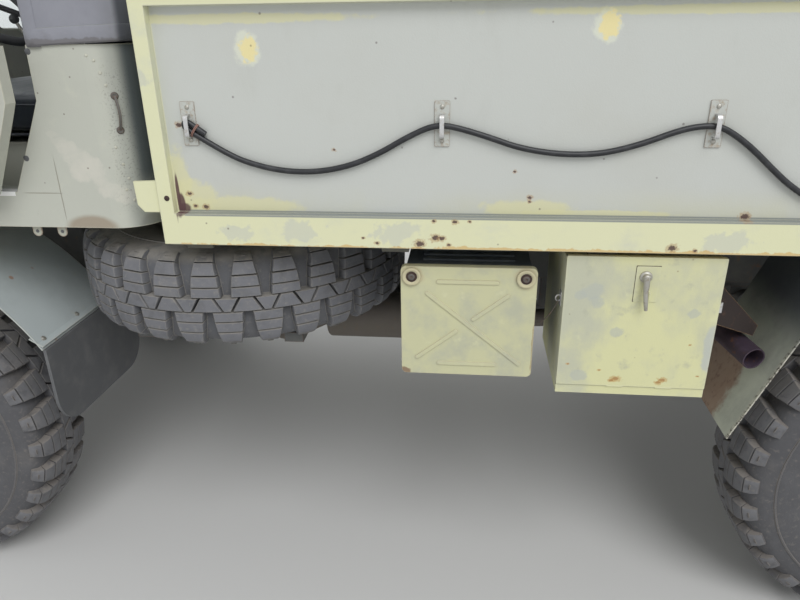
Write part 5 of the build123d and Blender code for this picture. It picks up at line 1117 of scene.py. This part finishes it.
# Battery cover fixings: a screw at the bottom of a round pressed cup in each upper corner.
for name, profile, sides, finish, slot in (
        ("cover_cups", [(0, 0.0215), (0.0020, 0.0208), (0.0030, 0.0192), (0.0030, 0.0178), (0.0012, 0.0138),
                        (0.0004, 0.0128), (0.0004, 0.0004)], 36, cover_paint, "worn_paint"),
        ("cover_cup_floors", [(0.0005, 0.0125), (0.0012, 0.0120), (0.0014, 0.0085), (0.0012, 0.0004)], 28, rusty_iron,
         "rusty_steel"),
        ("cover_screws", [(0.0011, 0.0078), (0.0026, 0.0076), (0.0036, 0.0060), (0.0036, 0.0032), (0.0018, 0.0030),
                          (0.0016, 0.0004)], 20, chassis_steel, "frame_steel")):
    piece(name, [turned(profile, (x, 0.9640, CUPS_Z), (0, 1, 0), sides) for x in CUPS_X], finish)

# Toolbox door: a shallow folded pan on two small hinges at its lower edge. A zinc lever on a round boss
# turns in a thin plate and draws the bolt, beside a small stop.
door_left, door_right, door_foot, door_head, door_face = -0.389, -0.720, 0.767, 1.081, 0.985
pan = [plate(rounded(door_right, door_left, door_foot, door_head, 0.002, 4), "xz", door_face - 0.0015, door_face)]
GAUGE, PAN_MOUTH, PAN_FLOOR = 0.0015, 0.973, 0.984
for x0, x1, z0, z1 in ((door_right, door_left, door_foot, door_foot + GAUGE),
                       (door_right, door_left, door_head - GAUGE, door_head),
                       (door_right, door_right + GAUGE, door_foot, door_head),
                       (door_left - GAUGE, door_left, door_foot, door_head)):
    pan.append(brick((x0, PAN_MOUTH, z0), (x1, PAN_FLOOR, z1)))
for x in (-0.630, -0.521):
    pan.append(turned([(-0.018, 0.0022), (0.018, 0.0022)], (x, 0.9832, 0.7660), (1, 0, 0), 12))
piece("toolbox_pan", pan, box_paint, "toolbox_lid", ("toolbox_door",))
latch_form = [plate(rounded(-0.586, -0.536, 0.979, 1.061, 0.003, 5), "xz", door_face, door_face + 0.0014),
              brick((-0.5700, door_face, 0.985), (-0.5655, door_face + 0.008, 1.003), 0.001)]
piece("latch_plate", latch_form, box_paint, "toolbox_lid")
# Painted shade: thin dark rusty bars along the plate's top and front edges stand in for the shadow in the gap round it.
latch_line = [(x, door_face + 0.0002, z) for x, z in ((-0.5362, 1.0612), (-0.5862, 1.0612))]
latch_side = [(x, door_face + 0.0002, z) for x, z in ((-0.5360, 1.0612), (-0.5360, 0.9788))]
piece("latch_gap", [tube(latch_line, 0.0009, 8), tube(latch_side, 0.0009, 8, (0, 1, 0))], rusty_iron,
      "toolbox_lid")
boss = [turned([(0, 0.0135), (0.003, 0.0130), (0.004, 0.0105), (0.005, 0.0090), (0.0125, 0.0084), (0.0140, 0.0066),
                (0.0142, 0.0004)], (-0.557, door_face + 0.0012, 1.037), (0, 1, 0), 28)]
lever_path = bend([(-0.557, 0.9975, 1.040), (-0.557, 1.0000, 1.005), (-0.560, 1.0030, 0.978),
                   (-0.562, 1.0010, 0.966)], 0.012)
lever_radius = np.interp(np.linspace(0, 1, len(lever_path)), (0, 0.2, 1), (0.0072, 0.0054, 0.0040))
lever = tube(lever_path, lever_radius, 12, (0, 1, 0))
piece("latch_lever", boss + [lever], zinc, "toolbox_lid", crease=50)

# Toolbox eyes: a steel eye on a small tab at each side of the box, and a small stop on the door's rear edge.
# A thin steel rope hangs from the front eye to the battery box.
tabs = []
for x, out, z in ((-0.389, 1, 0.967), (-0.720, -1, 0.954)):
    tab_form = plate(rounded(-0.012, 0.012, z - 0.018, z + 0.018, 0.005), "yz", x, x + out * 0.002)
    a = np.linspace(0, 2 * pi, 20, endpoint=False)[:, None]
    eye = np.array((x + out * 0.0055, 0.945, z)) + 0.008 * np.cos(a) * np.array((0, 0.3, 1)) + (
        0.006 * np.sin(a) * np.array((1, 0, 0)))
    tabs += [(tab_form[0] + (0, 0.945, 0), tab_form[1]), tube(eye, 0.0018, 8, (0, 1, 0), True)]
rope = bend([(-0.384, 0.945, 0.960), (-0.372, 0.935, 0.925), (-0.352, 0.925, 0.895), (-0.329, 0.915, 0.885)], 0.02)
tabs.append(brick((-0.7315, 0.9680, 0.952), (-0.7215, 0.9720, 0.976), 0.0015))
piece("box_eyes", tabs, strap_metal)
piece("box_rope", [tube(rope, 0.0014, 8)], chassis_steel)

# Cross member: a deep pressed steel member under the two rails, ahead of the rear axle and above the
# propeller shaft. It is bolted to the rails from below.
member = [brick((-0.470, -0.374, 0.700), (-0.410, 0.374, 0.800), 0.004)]
for side in (1, -1):
    for x in (-0.458, -0.422):
        member += bolt((x, side * 0.350, 0.700), (0, 0, -1), 0.009, 0.007)
piece("shaft_member", member, chassis_steel)

# Wheel nuts and hub caps: six nuts hold each wheel to its hub, and a pressed cap with its own small bolts
# closes the hub.
FRONT_AXLE, REAR_AXLE, AXLE_HEIGHT, NUT_CIRCLE, CAP_CIRCLE = 1.46, -1.34, 0.460, 0.098, 0.049
cap_profile = [(0, 0.056), (0.004, 0.055), (0.007, 0.046), (0.016, 0.040), (0.021, 0.026), (0.022, 0.0004)]
for name, x, side in (("front_left", FRONT_AXLE, 1), ("front_right", FRONT_AXLE, -1), ("rear_left", REAR_AXLE, 1),
                      ("rear_right", REAR_AXLE, -1)):
    nuts, cap = [], [turned(cap_profile, (x, side * 0.860, AXLE_HEIGHT), (0, side, 0), 32)]
    for k in range(6):
        a = 2 * pi * (k + 0.5) / 6
        seat = (x + NUT_CIRCLE * cos(a), side * 0.824, AXLE_HEIGHT + NUT_CIRCLE * sin(a))
        nuts += bolt(seat, (0, side, 0), 0.0125, 0.018)
        nuts.append(turned([(0.016, 0.0065), (0.026, 0.0062), (0.0265, 0.0004)], seat, (0, side, 0), 12))
        cap += bolt((x + CAP_CIRCLE * cos(a), side * 0.8615, AXLE_HEIGHT + CAP_CIRCLE * sin(a)), (0, side, 0), 0.0045,
                    0.0045)
    piece(f"nuts_{name}", nuts, zinc, f"wheel_{name}")
    piece(f"hub_cap_{name}", cap, wheel_paint, f"wheel_{name}")

# Levers in the cab: the gear lever is a steel rod with a black knob, cranked up from the floor tunnel, and
# the hand brake is a flat bar with a grip beside it.
knob = turned([(0.0150 * -cos(a), max(0.0150 * sin(a), 0.0006)) for a in np.linspace(0.02, pi - 0.02, 13)],
              (1.286, 0.200, 1.574), (0.5, 0, 0.86), 20)
rod_path = bend([(1.279, 0.200, 1.560), (1.253, 0.200, 1.517), (1.235, 0.170, 1.330), (1.262, 0.120, 1.150)], 0.05)
rod = tube(rod_path, 0.0052, 12)
piece("gear_lever", [rod], zinc)
grip = tube([(1.150, 0.110, 1.440), (1.165, 0.110, 1.395), (1.180, 0.110, 1.340)], 0.0125, 14)
bar = tube([(1.180, 0.110, 1.345), (1.215, 0.110, 1.250), (1.240, 0.110, 1.150)], 0.0080, 10)
piece("lever_grips", [knob, grip], flap_rubber, crease=60)
piece("hand_brake", [bar], chassis_steel)

# Headlamp rings: a pressed steel ring, painted with the nose, frames each headlamp. Three small round-headed
# screws hold it.
ring_profile = [(0.000, 0.1045), (0.010, 0.1040), (0.016, 0.0985), (0.0165, 0.0920), (0.0120, 0.0900), (0.000, 0.0900)]
LAMP_OUT, LAMP_HEIGHT, SCREW_CIRCLE = 0.470, 1.180, 0.0985
for hand, y in (("left", LAMP_OUT), ("right", -LAMP_OUT)):
    ring = turned(ring_profile, (2.1905, y, LAMP_HEIGHT), (1, 0, 0), 48)
    screw_heads = [rivet((2.2060, y + SCREW_CIRCLE * cos(a), LAMP_HEIGHT + SCREW_CIRCLE * sin(a)), (1, 0, 0), 0.004)
                   for a in (pi / 2, pi * 7 / 6, pi * 11 / 6)]
    piece(f"lamp_ring_{hand}", [(ring[0], ring[1][:1])] + screw_heads, wing_paint)

# Lamps and mirrors: round red and amber glasses in the rear lamp boxes, side lamps on the wings, and flat
# glass in each mirror's back.
for colour_name, colour, y, radius in (("red", (0.42, 0.015, 0.012), 0.820, 0.033),
                                       ("amber", (0.60, 0.20, 0.012), 0.898, 0.027)):
    glass = Finish(f"{colour_name}_lens", colour, 0.22)
    glass.cloud(0.01, 4, 0.5, 0.8, tuple(0.6 * part for part in colour), 0.4, 0.5)
    glass.bumps(0.004, 2, 0.0003)
    lens_finish = glass.done(0)
    lenses = [turned([(0, radius), (0.004, radius), (0.009, radius * 0.75), (0.0115, radius * 0.35), (0.012, 0.0004)],
                     (-2.3200, side * y, 1.030), (-1, 0, 0), 30) for side in (1, -1)]
    piece(f"rear_lens_{colour_name}", lenses, lens_finish)
wing_lens = [(0, 0.026), (0.010, 0.026), (0.018, 0.018), (0.021, 0.0004)]
for hand, y in (("left", 0.80), ("right", -0.80)):
    piece(f"wing_lamp_{hand}", [turned(wing_lens, (2.055, y, 1.139), (0.25, 0, 1), 24)], lens_finish)
silvered = Finish("mirror_glass", (0.80, 0.82, 0.83), 0.06, 0.95)
silvered.cloud(0.03, 5, 0.5, 0.8, (0.55, 0.56, 0.56), 0.22, 0.5)
MIRROR_Y, MIRROR_HALF = 1.090, 0.053
panes = [plate(rounded(side * MIRROR_Y - MIRROR_HALF, side * MIRROR_Y + MIRROR_HALF, 1.697, 1.903, 0.012), "yz", 1.5505,
               1.5525) for side in (1, -1)]
piece("mirror_panes", panes, silvered.done(0))

# Windscreen wipers: a cranked steel arm on a round boss in the lower rail of each half of the windscreen
# frame, with a rubber blade that lies on the glass.
foot, top = np.array((1.535, 0, 1.512)), np.array((1.445, 0, 2.182))
rake = (top - foot) / np.linalg.norm(top - foot)
ahead_of = np.array((rake[2], 0, -rake[0]))
arms, blades = [], []
for side in (1, -1):
    pivot = foot + rake * 0.022 + ahead_of * 0.018 + (0, side * 0.46, 0)
    elbow = pivot + rake * 0.17 + ahead_of * 0.014 + (0, side * -0.13, 0)
    end = pivot + rake * 0.30 + ahead_of * 0.006 + (0, side * -0.22, 0)
    arms += [turned([(0, 0.013), (0.014, 0.012), (0.018, 0.008), (0.0182, 0.0004)], pivot, ahead_of, 20),
             tube(np.array([pivot + ahead_of * 0.012, elbow, end]), 0.0036, 8)]
    run = rake * 0.15 + np.array((0, side * 0.10, 0))
    run /= np.linalg.norm(run)
    blades.append(tube([end - run * 0.17 - ahead_of * 0.010, end - ahead_of * 0.006,
                        end + run * 0.17 - ahead_of * 0.010], 0.0052, 8))
piece("wiper_arms", arms, zinc)
piece("wiper_blades", blades, flap_rubber)

# Door handles: a cast lever turns in a round plate on the outer skin of each half door.
DOOR_AJAR, HINGE_X, HINGE_OUT = radians(7.0), 1.468, 0.9663
for name, side, open_by in (("left", 1, DOOR_AJAR), ("right", -1, 0.0)):
    back = np.array((-cos(open_by), side * sin(open_by), 0))
    out = np.array((sin(open_by), side * cos(open_by), 0))
    hinge = np.array((HINGE_X, side * HINGE_OUT, 0))
    place = hinge + back * 0.61 - out * 0.0063 + (0, 0, 1.435)
    boss_profile = [(0, 0.024), (0.003, 0.023), (0.004, 0.012), (0.018, 0.011), (0.020, 0.009), (0.0202, 0.0004)]
    form = [turned(boss_profile, place, out, 24),
            tube(np.array([place + out * 0.014, place + out * 0.022 - back * 0.03, place + out * 0.022 - back * 0.105]),
                 [0.0075, 0.0068, 0.0052], 12)]
    piece(f"door_handle_{name}", form, cab_paint, f"{name}_door")

# Bonnet catches: a rubber strap with a T-shaped end at each side, front and rear, pulls the bonnet down on
# the nose. The lower bracket is riveted to the nose.
straps, brackets = [], []
for side in (1, -1):
    for x in (1.70, 2.04):
        brackets.append(brick((x - 0.020, side * 0.599, 1.300), (x + 0.020, side * 0.605, 1.345), 0.002))
        straps.append(tube([(x, side * 0.608, 1.318), (x, side * 0.616, 1.360), (x, side * 0.618, 1.405)], 0.0085, 12))
        straps.append(tube([(x - 0.026, side * 0.618, 1.408), (x + 0.026, side * 0.618, 1.408)], 0.0080, 12))
piece("catch_brackets", brackets, wing_paint)
piece("catch_straps", straps, flap_rubber)

# Tailgate fasteners: a steel plate with a cranked lever on each rear post closes over the gate's edge.
fasteners = []
for side in (1, -1):
    fasteners.append(brick((-2.3410, side * 0.895, 1.545), (-2.3365, side * 0.960, 1.590), 0.001))
    fasteners += bolt((-2.3410, side * 0.945, 1.567), (-1, 0, 0), 0.009, 0.006)
    y = side * 0.912
    fasteners.append(tube(bend([(-2.345, y, 1.575), (-2.352, y, 1.530), (-2.348, y, 1.485)], 0.02), 0.0062, 10,
                          (0, 1, 0)))
piece("gate_fasteners", fasteners, zinc)

# Hood frame: bent steel tubes carry the hood, one bow at the rear corner posts, one over the seats, and a
# rail along each side from the windscreen to the rear bow.
bow_y = half - 0.035
tubes = []
for x, low in ((rear_x + 0.035, 1.515), (high_bow, None)):
    crown = ridge(np.array([x]))[0] - 0.034
    across_line = [(x, y, crown - 0.030 * (abs(y) / half) ** 2) for y in np.linspace(-bow_y + 0.06, bow_y - 0.06, 9)]
    ends = [[(x, side * bow_y, crown - 0.075)] + ([(x, side * bow_y, low)] if low else []) for side in (-1, 1)]
    tubes.append(tube(bend(ends[0][::-1] + across_line + ends[1], 0.05, 6), 0.0105, 12, (1, 0, 0)))
for side in (1, -1):
    line = [(x, side * bow_y, ridge(np.array([x]))[0] - 0.107) for x in np.linspace(rear_x + 0.04, front_x - 0.05, 8)]
    tubes.append(tube(line, 0.0105, 12))
piece("hood_frame", tubes, chassis_steel)

# Post bolt: one rusty round-headed bolt shows on the cargo body's front post on each side.
piece("post_bolts", [rivet((0.478, side * 1.0000, 1.199), (0, side, 0), 0.0062) for side in (1, -1)], rusty_iron)
